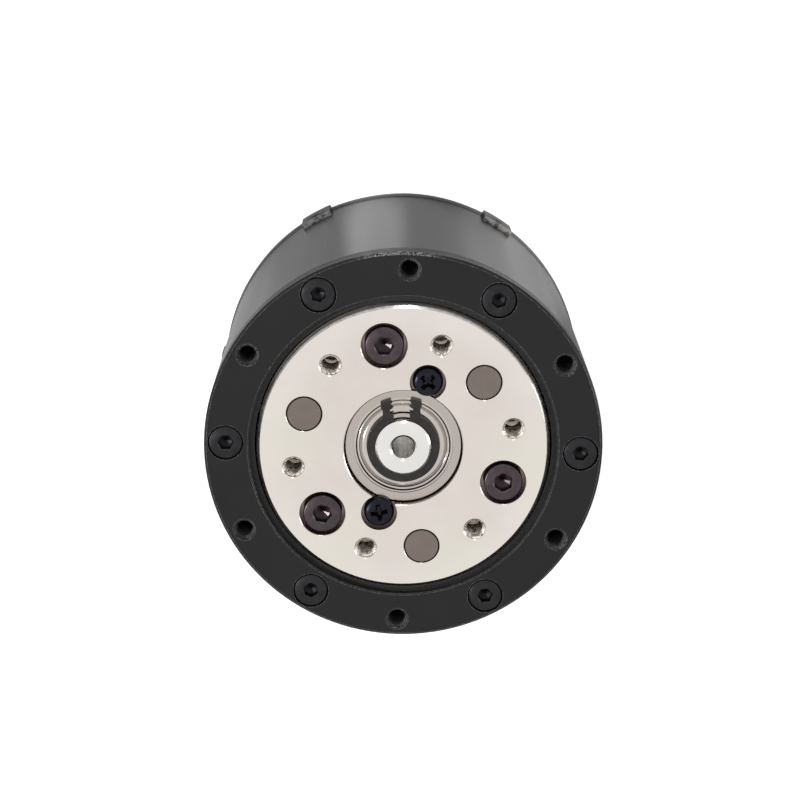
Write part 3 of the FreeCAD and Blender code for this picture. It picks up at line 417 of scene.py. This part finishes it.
    def tint(self, mask, colour):
        """Mixes a colour over the base where a mask is one."""
        node = self.tree.nodes.new("ShaderNodeMix")
        node.data_type = "RGBA"
        self.join(node, 0, mask)
        base = self.shader.inputs["Base Color"]
        self.carry(base, node, COLOUR_A)
        node.inputs[COLOUR_B].default_value = (*colour, 1)
        self.tree.links.new(node.outputs[2], base)

    def shade(self, value, low, high):
        """Darkens and lightens the base colour by a pattern."""
        node = self.tree.nodes.new("ShaderNodeMix")
        node.data_type = "RGBA"
        node.blend_type = "MULTIPLY"
        node.inputs[0].default_value = 1.0
        base = self.shader.inputs["Base Color"]
        self.carry(base, node, COLOUR_A)
        level = self.span(value, 0.3, 0.7, low, high, "LINEAR")
        self.tree.links.new(level, node.inputs[COLOUR_B])
        self.tree.links.new(node.outputs[2], base)

    def gloss(self, value, spread):
        """Varies the roughness about its middle by a pattern."""
        level = self.span(value, 0.3, 0.7, self.roughness - spread, self.roughness + spread, "LINEAR")
        self.tree.links.new(level, self.shader.inputs["Roughness"])

    def dull(self, mask, roughness):
        """Brings the roughness to another value where a mask is one."""
        node = self.tree.nodes.new("ShaderNodeMix")
        base = self.shader.inputs["Roughness"]
        self.join(node, 0, mask)
        self.carry(base, node, VALUE_A)
        node.inputs[VALUE_B].default_value = roughness
        self.tree.links.new(node.outputs[0], base)

    def relief(self, value, depth):
        """Adds a pattern, in millimetres, to the surface's height."""
        self.heights.append(self.maths("MULTIPLY", value, depth))

    def done(self):
        """Adds up the reliefs as one bump and gives the material."""
        if self.heights:
            height = self.heights[0]
            for other in self.heights[1:]:
                height = self.maths("ADD", height, other)
            bump = self.tree.nodes.new("ShaderNodeBump")
            bump.inputs["Distance"].default_value = MM
            self.join(bump, "Height", height)
            self.tree.links.new(bump.outputs[0], self.shader.inputs["Normal"])
        return self.material


def turned_metal(name, colour, roughness, depth=0.0012, mottle=0.06):
    """Bare metal off a lathe: fine rings and uneven polish."""
    finish = Finish(name, colour, 1.0, roughness)
    rings = finish.noise(9.0, 4.0, 0.6, where=finish.lathe_place())
    cloud = finish.noise(0.16, 3.0)
    finish.relief(rings, depth)
    finish.gloss(cloud, 0.25 * roughness)
    finish.shade(cloud, 1 - mottle, 1 + mottle / 3)
    return finish


def ground_metal(name, colour, roughness):
    """Bare metal off a surface grinder: long scratches one way."""
    finish = Finish(name, colour, 1.0, roughness)
    scratches = finish.noise(6.0, 5.0, 0.65, (0.05, 1.0, 1.0))
    finish.relief(scratches, 0.0015)
    finish.gloss(scratches, 0.3 * roughness)
    finish.shade(finish.noise(0.4, 3.0), 0.92, 1.027)
    return finish


BARE_AND_HIGHLIGHT_GREY = (0.34, 0.34, 0.33)      # aluminium where the anodising is rubbed through, and the grey of the painted highlight specks on the cover's chamfer


def anodised_black(name, roughness, colour=(0.0095, 0.0095, 0.0105)):
    """Dyed, sealed anodising: fine etched grain, cloudy gloss, corners rubbed to bare metal in specks."""
    finish = Finish(name, colour, 0.0, roughness, specular=0.26)
    cloud = finish.noise(0.12, 3.0)
    finish.relief(finish.noise(16.0, 2.0), 0.0012)
    finish.gloss(cloud, 0.05)
    finish.shade(cloud, 0.85, 1.15)
    rubbed = finish.span(finish.noise(3.4, 4.0, 0.75), 0.44, 0.66, 0.12, 0.85)
    finish.tint(finish.both(finish.edge(0.12), rubbed), BARE_AND_HIGHLIGHT_GREY)
    return finish


TROUGH_REACH = 1.1     # edge of the output disc to the outer wall of the trough
TROUGH_LIP = 0.25      # depth at which the painted light in the trough begins
COVER_CHAMFER = 0.38   # depth of the rubbed band under the front face
TAP_MOUTH_R = 1.72
CHAMFER_HIGHLIGHT_PLACES = [Vector((-1.5 * MM, 28.5 * MM, 0))]      # where a painted highlight lies in specks on the cover's chamfer


def cover_black(name, roughness):
    """Anodising of the cover: painted light in mottled patches in its shaded trough, painted highlight
    specks on its chamfer at one side, dull tapped mouths with painted glints.
    """
    finish = anodised_black(name, roughness)
    trough_r = radius_of("output_flange") + TROUGH_REACH
    trough = finish.both(finish.within(trough_r), finish.sunk(TROUGH_LIP, 0.1))
    # Painted light: the shaded floor of the trough is lightened in mottled patches.
    painted_fill_patches = finish.span(finish.noise(2.4, 4.0, 0.7), 0.35, 0.65, 0.3, 1.0)
    finish.tint(finish.both(trough, painted_fill_patches), (0.030, 0.030, 0.029))
    chamfer = finish.both(
        finish.beyond(radius_of("front_cover") - 0.45), finish.above(TOP / MM - COVER_CHAMFER, 0.04))
    # Painted highlight: light specks on the cover's chamfer at the top of its edge.
    highlight_specks = finish.span(finish.noise(3.4, 4.0, 0.75), 0.46, 0.56, 0.0, 0.9)
    finish.tint(finish.both(finish.near(CHAMFER_HIGHLIGHT_PLACES, 3.0, 4.0), chamfer, highlight_specks), BARE_AND_HIGHLIGHT_GREY)
    mouths = finish.near([place for place, angle in COVER_HOLES], TAP_MOUTH_R)
    # Painted glints: light specks in the tapped mouths.
    mouth_glints = finish.span(finish.noise(4.5, 2.0, 0.5), 0.60, 0.64)
    finish.dull(mouths, 0.62)
    finish.tint(finish.both(mouths, finish.sunk(0.02, 0.04), mouth_glints), (0.22, 0.22, 0.22))
    return finish


TAB_TOP = 6.3          # height of the rear cover's tabs
TAB_EDGE = 0.5         # strip under their top, painted grey in patches
TAB_OUTSIDE = 0.6      # their outer faces lie further out than this from the housing
RIM_TOP = 1.9          # height of the rim between the tabs


def rear_black(name, roughness):
    """Anodising of the rear cover, with painted light: grey patches on the front edges of its tabs, and
    lighter outer faces on its tabs and rim.
    """
    finish = anodised_black(name, roughness)
    body_r = radius_of("housing")
    proud = finish.beyond(body_r, 0.05)
    tab_light_patches = finish.span(finish.noise(0.8, 4.0, 0.7), 0.40, 0.54, 0.05, 1.0)
    # Painted light: the outer faces of the tabs are lightened.
    finish.tint(finish.both(finish.above(RIM_TOP + 0.1, 0.1), finish.beyond(body_r + TAB_OUTSIDE)),
                (0.05, 0.05, 0.05))
    # Painted light and shade: the front strips of the tabs are painted grey in patches, with dark gaps.
    finish.tint(finish.both(finish.above(TAB_TOP - TAB_EDGE, 0.1), proud, tab_light_patches), (0.22, 0.205, 0.20))
    # Painted light: the proud faces up to the rim's top are lightened.
    finish.tint(finish.both(proud, finish.below(RIM_TOP + 0.1, 0.1), 0.7), (0.12, 0.12, 0.12))
    return finish


def drawn_black(name, roughness):
    """Anodised tube: streaks along the axis from the drawing die, seen as bands of gloss."""
    finish = Finish(name, (0.011, 0.011, 0.0115), 0.0, roughness, specular=0.22)
    bands = finish.noise(2.1, 2.0, 0.5, where=finish.around())
    streaks = finish.noise(34.0, 3.0, 0.6, where=finish.around())
    finish.relief(finish.noise(16.0, 2.0), 0.0010)
    finish.relief(streaks, 0.0012)
    finish.gloss(bands, 0.08)
    finish.shade(bands, 0.8, 1.2)
    rubbed = finish.span(finish.noise(3.4, 4.0, 0.75), 0.46, 0.66, 0.0, 0.6)
    finish.tint(finish.both(finish.edge(0.12), rubbed), (0.24, 0.24, 0.24))
    return finish


FLANGE_CHAMFER = 0.5
COUNTERBORE_R = 3.3
CLAMP_POCKET_R = 2.7
PIN_JOINT_R = 2.75
PIN_FACE_R = 2.34
SHAFT_BORE_R = 1.68
CREAM_PLACES = [Vector((x * MM, y * MM, 0)) for x, y in ((-17.5, 1), (17.5, -2), (-10, -15), (8, -17))]


def plated_flange(name, colour, roughness):
    """Nickel plate over a faced disc: faintly tinted, mottled on its chamfer, with painted shade
    darkening its counterbores, screw pockets and pin joints.
    """
    finish = turned_metal(name, colour, roughness, depth=0.0008, mottle=0.035)
    disc_r = radius_of("output_flange")
    finish.tint(finish.span(finish.radius(), 0.72 * disc_r, 0.97 * disc_r, 0.0, 0.35), (0.84, 0.80, 0.76))
    finish.tint(finish.both(finish.near(CREAM_PLACES, 2.0, 8.0), 0.6), (0.75, 0.735, 0.645))
    chamfer = finish.beyond(disc_r - FLANGE_CHAMFER - 0.02)
    mottle = finish.span(finish.noise(1.5, 4.0, 0.7), 0.36, 0.66, 1.0, 0.5)
    finish.tint(finish.both(chamfer, mottle), (0.42, 0.40, 0.385))
    wall = finish.both(chamfer, finish.sunk(FLANGE_CHAMFER, 0.1))
    finish.tint(wall, (0.50, 0.48, 0.46))
    finish.dull(wall, 0.75)
    # Painted shade: the counterbores round the carrier screws are darkened.
    counterbore_shade = finish.both(finish.near(centres("carrier_screws"), COUNTERBORE_R), finish.sunk(0.02))
    finish.tint(counterbore_shade, (0.25, 0.19, 0.18))
    # Painted shade: the chamfers round the pins are darkened.
    joints = finish.both(finish.near(centres("planet_pins"), PIN_JOINT_R), finish.sunk(0.03))
    finish.tint(joints, (0.07, 0.055, 0.05))
    # Painted shade: the pockets round the cross screws are darkened.
    clamps = finish.both(finish.near(centres("bearing_screws"), CLAMP_POCKET_R), finish.sunk(0.08, 0.1))
    finish.tint(clamps, (0.16, 0.13, 0.12))
    return finish


def pin_end(name, colour, roughness):
    """Ground pin, its chamfer darkened as painted shade."""
    finish = ground_metal(name, colour, roughness)
    face = finish.near(centres("planet_pins"), PIN_FACE_R, 0.04)
    # Painted shade on the pin's chamfer.
    finish.tint(finish.maths("SUBTRACT", 1.0, face), (0.06, 0.05, 0.045))
    return finish


def bored_shaft(name, colour):
    """Turned shaft whose tapped bore is painted darker in bands along its wall, as painted shade and
    reflections.
    """
    finish = turned_metal(name, colour, 0.16)
    # Painted shade and reflections: darker bands round the wall of the bore.
    bands = finish.span(finish.noise(1.5, 2.0, 0.5, where=finish.around()), 0.36, 0.58, 0.25, 0.95)
    bore = finish.both(finish.within(SHAFT_BORE_R, 0.07), finish.sunk(0.4, 0.2))
    finish.tint(finish.both(bore, bands), (0.50, 0.485, 0.47))
    return finish


def cut_thread(name, colour, roughness):
    """Freshly tapped metal with cutting oil left in patches along the hole."""
    finish = Finish(name, colour, 1.0, roughness)
    oil = finish.span(finish.noise(1.9, 4.0, 0.7, (1.0, 1.0, 0.5)), 0.45, 0.56, 0.0, 0.9)
    finish.relief(finish.noise(9.0, 3.0), 0.002)
    finish.gloss(finish.noise(2.0, 2.0), 0.08)
    finish.tint(oil, (0.26, 0.22, 0.19))
    return finish


def bearing_race(name, colour):
    """Ground bearing face, its chamfers darkened as painted shade."""
    finish = turned_metal(name, colour, 0.2, mottle=0.04)
    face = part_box("nose_bearing_outer")[1].z / MM
    # Painted shade on the chamfers under the bearing's face.
    finish.tint(finish.below(face - 0.03, 0.06), (0.05, 0.042, 0.038))
    return finish


def screw_steel(name, colour, roughness, metallic=0.9):
    """Chemically blackened steel, thinner at its edges."""
    finish = Finish(name, colour, metallic, roughness)
    finish.relief(finish.noise(12.0, 3.0), 0.0015)
    finish.shade(finish.noise(0.8, 3.0), 0.8, 1.2)
    finish.gloss(finish.noise(1.5, 3.0), 0.08)
    finish.tint(finish.edge(0.08, 0.5), tuple(3.0 * part for part in colour))
    return finish


def socketed_steel(name, colour, roughness, node, socket_r, polish):
    """Blackened steel of a node's cap screws, their sockets darkened as painted shade."""
    finish = screw_steel(name, colour, roughness)
    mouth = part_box(node)[1].z / MM - 0.15
    inside = finish.both(finish.near(centres(node), socket_r), finish.below(mouth, 0.1))
    # Painted shade: the insides of the sockets are darkened.
    finish.tint(inside, tuple(0.45 * part for part in colour))
    finish.dull(inside, polish)
    return finish


def moulded(name, colour, roughness):
    """Injection-moulded plastic with a fine spark texture."""
    finish = Finish(name, colour, 0.0, roughness)
    finish.relief(finish.noise(9.0, 3.0), 0.004)
    finish.gloss(finish.noise(0.7, 2.0), 0.06)
    finish.shade(finish.noise(0.5, 2.0), 0.93, 1.04)
    return finish


def laminated(name, colour):
    """Stack of stamped sheets, seen as lines along the axis."""
    finish = Finish(name, colour, 1.0, 0.5)
    sheets = finish.noise(5.5, 1.0, 0.5, (0.02, 0.02, 1.0))
    finish.relief(sheets, 0.02)
    finish.shade(sheets, 0.6, 1.2)
    return finish


def wound(name, colour):
    """Enamelled wire laid side by side."""
    finish = Finish(name, colour, 1.0, 0.32)
    wires = finish.tree.nodes.new("ShaderNodeTexWave")
    wires.bands_direction = "Z"
    finish.join(wires, "Vector", finish.place)
    wires.inputs["Scale"].default_value = 1.1
    wires.inputs["Distortion"].default_value = 0.4
    finish.relief(wires.outputs["Fac"], 0.05)
    finish.shade(wires.outputs["Fac"], 0.6, 1.1)
    return finish


def circuit_board(name, colour):
    """Solder mask over traces."""
    finish = Finish(name, colour, 0.0, 0.35)
    traces = finish.tree.nodes.new("ShaderNodeTexVoronoi")
    traces.distance = "MANHATTAN"
    finish.join(traces, "Vector", finish.place)
    traces.inputs["Scale"].default_value = 0.7
    lines = finish.span(traces.outputs["Distance"], 0.25, 0.32)
    finish.relief(lines, 0.02)
    finish.tint(finish.both(lines, 0.35), tuple(2.2 * part for part in colour))
    return finish


FINISHES = [
    cover_black("cover_black", 0.40),
    drawn_black("housing_black", 0.28),
    rear_black("rear_black", 0.42),
    plated_flange("flange_nickel", (0.73, 0.665, 0.62), 0.22),
    pin_end("pin_brown", (0.205, 0.172, 0.150), 0.36),
    bored_shaft("shaft_bright", (0.80, 0.785, 0.76)),
    cut_thread("tap_bright", (0.86, 0.81, 0.74), 0.5),
    anodised_black("tap_black", 0.5, (0.03, 0.03, 0.031)),
    turned_metal("race_steel", (0.47, 0.435, 0.42), 0.2),
    bearing_race("nose_race", (0.485, 0.435, 0.40)),
    turned_metal("shield_steel", (0.55, 0.51, 0.48), 0.14),
    socketed_steel("cap_screw_black", (0.028, 0.028, 0.03), 0.42, "cover_screws", 1.2, 0.36),
    socketed_steel("carrier_screw_brown", (0.070, 0.054, 0.060), 0.34, "carrier_screws", 1.45, 0.26),
    screw_steel("cross_screw_blue", (0.016, 0.016, 0.023), 0.3),
    screw_steel("clip_black", (0.040, 0.036, 0.036), 0.42),
    ground_metal("gear_steel", (0.46, 0.45, 0.43), 0.34),
    turned_metal("bush_bronze", (0.55, 0.36, 0.18), 0.4),
    turned_metal("plain_aluminium", (0.62, 0.63, 0.64), 0.36),
    turned_metal("rotor_zinc", (0.42, 0.43, 0.45), 0.36),
    ground_metal("magnet_nickel", (0.5, 0.5, 0.5), 0.3),
    laminated("lamination", (0.2, 0.2, 0.22)),
    wound("winding_copper", (0.72, 0.33, 0.16)),
    circuit_board("board_green", (0.02, 0.16, 0.08)),
    moulded("chip_black", (0.02, 0.02, 0.02), 0.45),
    moulded("socket_amber", (0.80, 0.55, 0.05), 0.4),
    moulded("socket_cream", (0.82, 0.78, 0.66), 0.45),
    ground_metal("contact_gold", (0.85, 0.62, 0.22), 0.25),
]
finishes = {finish.name: finish.done() for finish in FINISHES}

NODE_FINISH = {
    "front_cover": "cover_black",
    "housing": "housing_black",
    "rear_cover": "rear_black",
    "output_flange": "flange_nickel",
    "planet_pins": "pin_brown",
    "sun_shaft": "shaft_bright",
    "cover_screws": "cap_screw_black",
    "rear_cover_screws": "cap_screw_black",
    "carrier_screws": "carrier_screw_brown",
    "bearing_screws": "cross_screw_blue",
    "board_screws": "cross_screw_blue",
    "nose_circlip": "clip_black",
    "nose_bearing_outer": "nose_race",
    "nose_bearing_inner": "nose_race",
    "snap_ring": "clip_black",
    "carrier_plate": "gear_steel",
    "ring_gear": "gear_steel",
    "planet_washers": "bush_bronze",
    "mid_plate": "plain_aluminium",
    "end_plate": "plain_aluminium",
    "rotor_bell": "rotor_zinc",
    "rotor_magnets": "magnet_nickel",
    "encoder_magnet": "magnet_nickel",
    "stator_core": "lamination",
    "stator_windings": "winding_copper",
    "phase_pins": "winding_copper",
    "driver_board": "board_green",
    "board_chips": "chip_black",
    "power_socket": "socket_amber",
    "signal_socket": "socket_cream",
    "power_contacts": "contact_gold",
    "signal_contacts": "contact_gold",
}


def finish_of(node):
    """The finish of a node, by its name or by its family."""
    if node in NODE_FINISH:
        return finishes[NODE_FINISH[node]]
    if node.startswith("planet_gear"):
        return finishes["gear_steel"]
    if node.startswith("planet_bush"):
        return finishes["bush_bronze"]
    if node.endswith("shields"):
        return finishes["shield_steel"]
    return finishes["race_steel"]


for node, thing in frame["nodes"].items():
    thing.data.materials.clear()
    thing.data.materials.append(finish_of(node))


# ================================================================ screws
DRILL_HALF_ANGLE = math.radians(65)


def drive_socket(piece, flats, deep):
    """Cuts a hexagonal socket with a countersunk mouth and the faceted point that broaching leaves."""
    corner = flats / 2 / math.cos(math.pi / 6)
    drill_r = 0.47 * flats
    point = drill_r / math.tan(DRILL_HALF_ANGLE)
    cut(piece, turned_bar("hexagon", [(corner, 1.0), (corner, -deep)], sides=6))
    cut(piece, turned_bar("drill", [(drill_r, 0.05 - deep), (0.02, 0.05 - deep - point)], sides=12))
    cut(piece, turned_bar("mouth", [(corner - 0.12, -0.12), (corner + 0.05, 0.05)], sides=48))
    smooth(piece)
    edit(piece)
    pick_faces(piece, lambda place, normal: place.z < (0.01 - deep) * MM and 0.5 < normal.z < 0.99
               and place.xy.length < drill_r * MM)
    bpy.ops.mesh.faces_shade_flat()
    leave()


KNURLS = 72            # grooves and ridges round a head, taken together


def cap_screw(name, head_r, head_h, shank_r, length, flats, deep, crown, knurl, skirt):
    """Socket cap screw, its head's top at height nought, with knurled side and turned crown."""
    side_r = head_r + skirt
    piece = turned_bar(name, [
        (shank_r - 0.3, -head_h - length), (shank_r, -head_h - length + 0.3), (shank_r, -head_h),
        (side_r - 0.1, -head_h), (side_r, -head_h + 0.1), (side_r, -crown - skirt), (head_r, -crown),
        (head_r - 0.4 * crown, -0.35 * crown), (head_r - crown, 0)], sides=KNURLS)
    edit(piece, "VERT")
    pick_verts(piece, lambda place: -(head_h - 0.05) * MM < place.z < -(crown + 0.9 * skirt) * MM
               and round(math.atan2(place.y, place.x) * KNURLS / (2 * math.pi)) % 2)
    share = 1 - knurl / side_r
    bpy.ops.transform.resize(value=(share, share, 1), center_override=(0, 0, 0))
    leave()
    drive_socket(piece, flats, deep)
    return piece


def screws_of(node, name, body, finish, slot, turns, **shape):
    """Cap screws in place of a node's own, each with its socket turned to another angle."""
    solids = islands(node)
    low, high = solids[0][1], solids[0][2]
    model = cap_screw(name, head_r=(high.x - low.x) / 2 / MM, **shape)
    places = [(where.x, where.y, top.z, turn) for (where, bottom, top), turn in zip(solids, turns)]
    for index, piece in enumerate(copies_at(model, name, places)):
        dress(piece, finish, body)
        if index == 0:
            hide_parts(node)


screws_of("cover_screws", "cover_cap_screw", "root", "cap_screw_black", "black_oxide",
          turns=(8, 40, 22, 51, 13, 33), head_h=2.5, shank_r=1.25, length=6.0,
          flats=2.0, deep=0.9, crown=0.18, knurl=0.03, skirt=0.08)
screws_of("carrier_screws", "carrier_cap_screw", "output", "carrier_screw_brown", "black_oxide",
          turns=(22, 0, 30), head_h=3.0, shank_r=1.5, length=12.0,
          flats=2.5, deep=1.0, crown=0.28, knurl=0.06, skirt=0.0)


def cross_bit(reach, width, deep):
    """Cross-shaped cutter that narrows to a point, with its corners flared between the wings."""
    deselect()
    bpy.ops.mesh.primitive_cube_add(size=1.0, location=(0, 0, 0))
    bpy.ops.transform.resize(value=(width * MM, width * MM, deep * MM))
    bit = settle(named("cross_bit"))
    bit.data.transform(Matrix.Translation((0, 0, -deep * MM / 2 + 0.2 * MM)))
    edit(bit)
    pick_faces(bit, lambda place, normal: abs(normal.z) < 0.5)
    bpy.ops.mesh.extrude_faces_move(TRANSFORM_OT_shrink_fatten={"value": (reach - width / 2) * MM})
    pick_faces(bit, lambda place, normal: normal.z < -0.5)
    bpy.ops.transform.resize(value=(0.45, 0.45, 1), center_override=(0, 0, 0))
    leave()
    return bit


def pan_screws():
    """Pan-head screws that lap over the bearing, each with a tapered cross recess."""
    solids = islands("bearing_screws")
    low, high = solids[0][1], solids[0][2]
    head_r = (high.x - low.x) / 2 / MM
    tall = (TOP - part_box("nose_bearing_outer")[1].z) / MM
    model = turned_bar("cross_screw", [
        (0.8, -tall - 5.0), (1.0, -tall - 4.7), (1.0, -tall),
        (head_r - 0.06, -tall), (head_r, -tall + 0.08),
        (head_r, -0.75), (head_r - 0.10, -0.42), (head_r - 0.34, -0.17), (head_r - 0.75, -0.04),
        (head_r - 1.2, 0)], sides=64)
    cut(model, cross_bit(1.42, 0.78, 1.2))
    cut(model, turned_bar("dimple", [(0.2, -0.85), (0.78, 0.1)], sides=32))
    smooth(model)
    places = [(where.x, where.y, top.z, turn) for (where, bottom, top), turn in zip(solids, (12, 50))]
    for index, piece in enumerate(copies_at(model, "bearing_cross_screw", places)):
        dress(piece, "cross_screw_blue", "output")
        if index == 0:
            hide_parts("bearing_screws")


pan_screws()


# ================================================================ threads
PITCH = 0.5
TURNS = 12
ROOT_R = 1.49
CREST_R = 1.25
THREAD_SINK = 0.2      # front face to the first turn
FOOT_WIDTH = 0.98      # of the ridge, as a share of the pitch
CREST_WIDTH = 0.2      # of the ridge, as a share of its foot


def thread(name):
    """Ridge of an M3 tapped hole, wound round the wall with its top at height nought."""
    deselect()
    middle_r = (ROOT_R + CREST_R) / 2
    bpy.ops.mesh.primitive_plane_add(size=MM, rotation=(math.pi / 2, 0, 0))
    bpy.ops.transform.resize(value=(ROOT_R - CREST_R, 1, FOOT_WIDTH * PITCH))
    piece = settle(named(name))
    piece.data.transform(Matrix.Translation((middle_r * MM, 0, 0)))
    edit(piece, "VERT")
    pick_verts(piece, lambda place: place.x < middle_r * MM)
    bpy.ops.transform.resize(value=(1, 1, CREST_WIDTH), center_override=(0, 0, 0))
    leave()
    modify(piece, "SCREW", axis="Z", angle=2 * math.pi, steps=28, render_steps=28,
           screw_offset=PITCH * MM, iterations=TURNS, use_merge_vertices=False)
    edit(piece)
    bpy.ops.mesh.select_all(action="SELECT")
    bpy.ops.mesh.fill_holes(sides=4)
    tidy_shell()
    leave()
    piece.data.transform(Matrix.Translation((0, 0, -(TURNS + 0.5) * PITCH * MM)))
    return smooth(piece)


def threads_in(holes, name, body, finish):
    """Threads in the holes of a bolt circle."""
    places = [(place.x, place.y, place.z - THREAD_SINK * MM, angle) for place, angle in holes]
    for piece in copies_at(thread(name), name, places):
        dress(piece, finish, body)


threads_in(OUTPUT_HOLES, "output_thread", "output", "tap_bright")
threads_in(COVER_HOLES, "cover_thread", "root", "tap_black")


# ================================================================ nose bearing shields
def shields():
    """Pressed sheet shields with two rolled ridges, one at each end of the bearing."""
    low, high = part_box("nose_bearing_shields")
    ring_low, ring_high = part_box("nose_bearing_outer")
    rim = (high.x - low.x) / 2 / MM
    face = ring_high.z / MM
    top = [(4.93, -0.30), (4.97, -0.12), (5.10, -0.05), (5.30, -0.03), (5.62, -0.03), (5.84, -0.08),
           (5.98, -0.24), (6.10, -0.33), (6.20, -0.26), (6.30, -0.13), (6.45, -0.09), (6.58, -0.13),
           (6.70, -0.28), (6.86, -0.40), (rim, -0.34)]
    sheet = 0.16
    outline = top + [(radius, height - sheet) for radius, height in reversed(top)]
    for index, (level, over) in enumerate(((face, 0.0), (ring_low.z / MM, math.pi)), start=1):
        piece = turned_ring("nose_shield_%d" % index, outline, sides=128)
        piece.data.transform(Matrix.Translation((0, 0, level * MM)) @ Matrix.Rotation(over, 4, "X"))
        dress(smooth(piece, 60), "shield_steel", "output")
        if index == 1:
            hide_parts("nose_bearing_shields")


shields()


# ================================================================ floor, light and camera
def light_path_share(tree, mirrored):
    """One for camera and transmission rays, and a share of it for glossy rays."""
    path = tree.nodes.new("ShaderNodeLightPath")
    glossy = tree.nodes.new("ShaderNodeMath")
    glossy.operation = "MULTIPLY"
    glossy.inputs[1].default_value = mirrored
    tree.links.new(path.outputs["Is Glossy Ray"], glossy.inputs[0])
    total = glossy.outputs[0]
    for output in ("Is Camera Ray", "Is Transmission Ray"):
        node = tree.nodes.new("ShaderNodeMath")
        node.operation = "MAXIMUM"
        tree.links.new(total, node.inputs[0])
        tree.links.new(path.outputs[output], node.inputs[1])
        total = node.outputs[0]
    return total


FLOOR_R = 3.0          # metres
FLOOR_SEEN = 0.8       # brightness that the camera sees over what the lamps give
FLOOR_MIRRORED = 0.1   # share of it that the part mirrors
SKY_SEEN = 1.0
SKY_LIGHT = 0.55


def floor():
    """Pale floor, a hair below the part and open under it, so the rear face shows from below."""
    deselect()
    opening = (radius_of("housing") + 0.1) * MM
    bpy.ops.mesh.primitive_circle_add(vertices=96, radius=opening, location=(0, 0, FLOOR_LEVEL))
    piece = named("floor")
    edit(piece, "EDGE")
    bpy.ops.mesh.select_all(action="SELECT")
    bpy.ops.mesh.extrude_region_move(TRANSFORM_OT_translate={"value": (0, 0, 0)})
    share = FLOOR_R / opening
    bpy.ops.transform.resize(value=(share, share, 1), center_override=(0, 0, FLOOR_LEVEL))
    leave()
    material = bpy.data.materials.new("pale_floor")
    material.use_nodes = True
    tree = material.node_tree
    shader = tree.nodes["Principled BSDF"]
    shader.inputs["Base Color"].default_value = (0.6, 0.6, 0.6, 1)
    shader.inputs["Roughness"].default_value = 0.9
    shader.inputs["Specular IOR Level"].default_value = 0.0
    shader.inputs["Emission Color"].default_value = (1, 1, 1, 1)
    strength = tree.nodes.new("ShaderNodeMath")
    strength.operation = "MULTIPLY"
    strength.inputs[1].default_value = FLOOR_SEEN
    tree.links.new(light_path_share(tree, FLOOR_MIRRORED), strength.inputs[0])
    tree.links.new(strength.outputs[0], shader.inputs["Emission Strength"])
    piece.data.materials.append(material)


def world():
    """White backdrop that shows brighter than it lights the part."""
    backdrop = bpy.data.worlds.new("backdrop")
    bpy.context.scene.world = backdrop
    backdrop.use_nodes = True
    tree = backdrop.node_tree
    background = tree.nodes["Background"]
    background.inputs["Color"].default_value = (1, 1, 1, 1)
    node = tree.nodes.new("ShaderNodeMapRange")
    node.inputs[3].default_value = SKY_LIGHT
    node.inputs[4].default_value = SKY_SEEN
    tree.links.new(light_path_share(tree, 1.0), node.inputs[0])
    tree.links.new(node.outputs[0], background.inputs["Strength"])


def hang(name, data, place, target):
    """Hangs a light at a place, turned to a target."""
    light = bpy.data.objects.new(name, data)
    light.location = place
    light.rotation_euler = (Vector(target) - Vector(place)).to_track_quat("-Z", "Y").to_euler()
    bpy.context.scene.collection.objects.link(light)


def lamp(name, place, size, power):
    """Round lamp that faces the middle of the part."""
    data = bpy.data.lights.new(name, "AREA")
    data.shape = "DISK"
    data.size = size
    data.energy = power
    hang(name, data, place, (0, 0, TOP / 2))


def spot(name, place, target, angle, blend, power):
    """Narrow beam on the floor, which the side of the part mirrors as a band."""
    data = bpy.data.lights.new(name, "SPOT")
    data.spot_size = math.radians(angle)
    data.spot_blend = blend
    data.shadow_soft_size = 0.002
    data.energy = power
    hang(name, data, place, (*target, FLOOR_LEVEL))


def camera():
    data = bpy.data.cameras.new("camera")
    data.lens = 94.43
    data.sensor_width = 36.0
    data.clip_start = 0.01
    data.clip_end = 20.0
    view = bpy.data.objects.new("camera", data)
    view.location = Vector((-4.91, 85.15, 335.40)) * MM
    view.rotation_euler = [math.radians(a) for a in (-15.205, -0.300, 1.971)]
    bpy.context.scene.collection.objects.link(view)
    bpy.context.scene.camera = view


floor()
world()
lamp("key", (0.008, 0.60, 0.19), 0.04, 0.22)
lamp("left", (-0.52, -0.03, 0.49), 0.03, 2.2)
lamp("right", (0.55, 0.05, 0.10), 0.20, 0.5)
spot("band", (-0.10, 0.40, 0.35), (-0.008, 0.037), 1.6, 0.1, 14.0)
spot("right_sheen", (0.30, 0.28, 0.35), (0.0262, 0.0262), 4.0, 0.8, 10.0)
spot("left_sheen", (-0.35, 0.20, 0.35), (-0.034, 0.008), 4.0, 1.0, 6.0)
camera()
bpy.context.scene.view_settings.view_transform = "Standard"
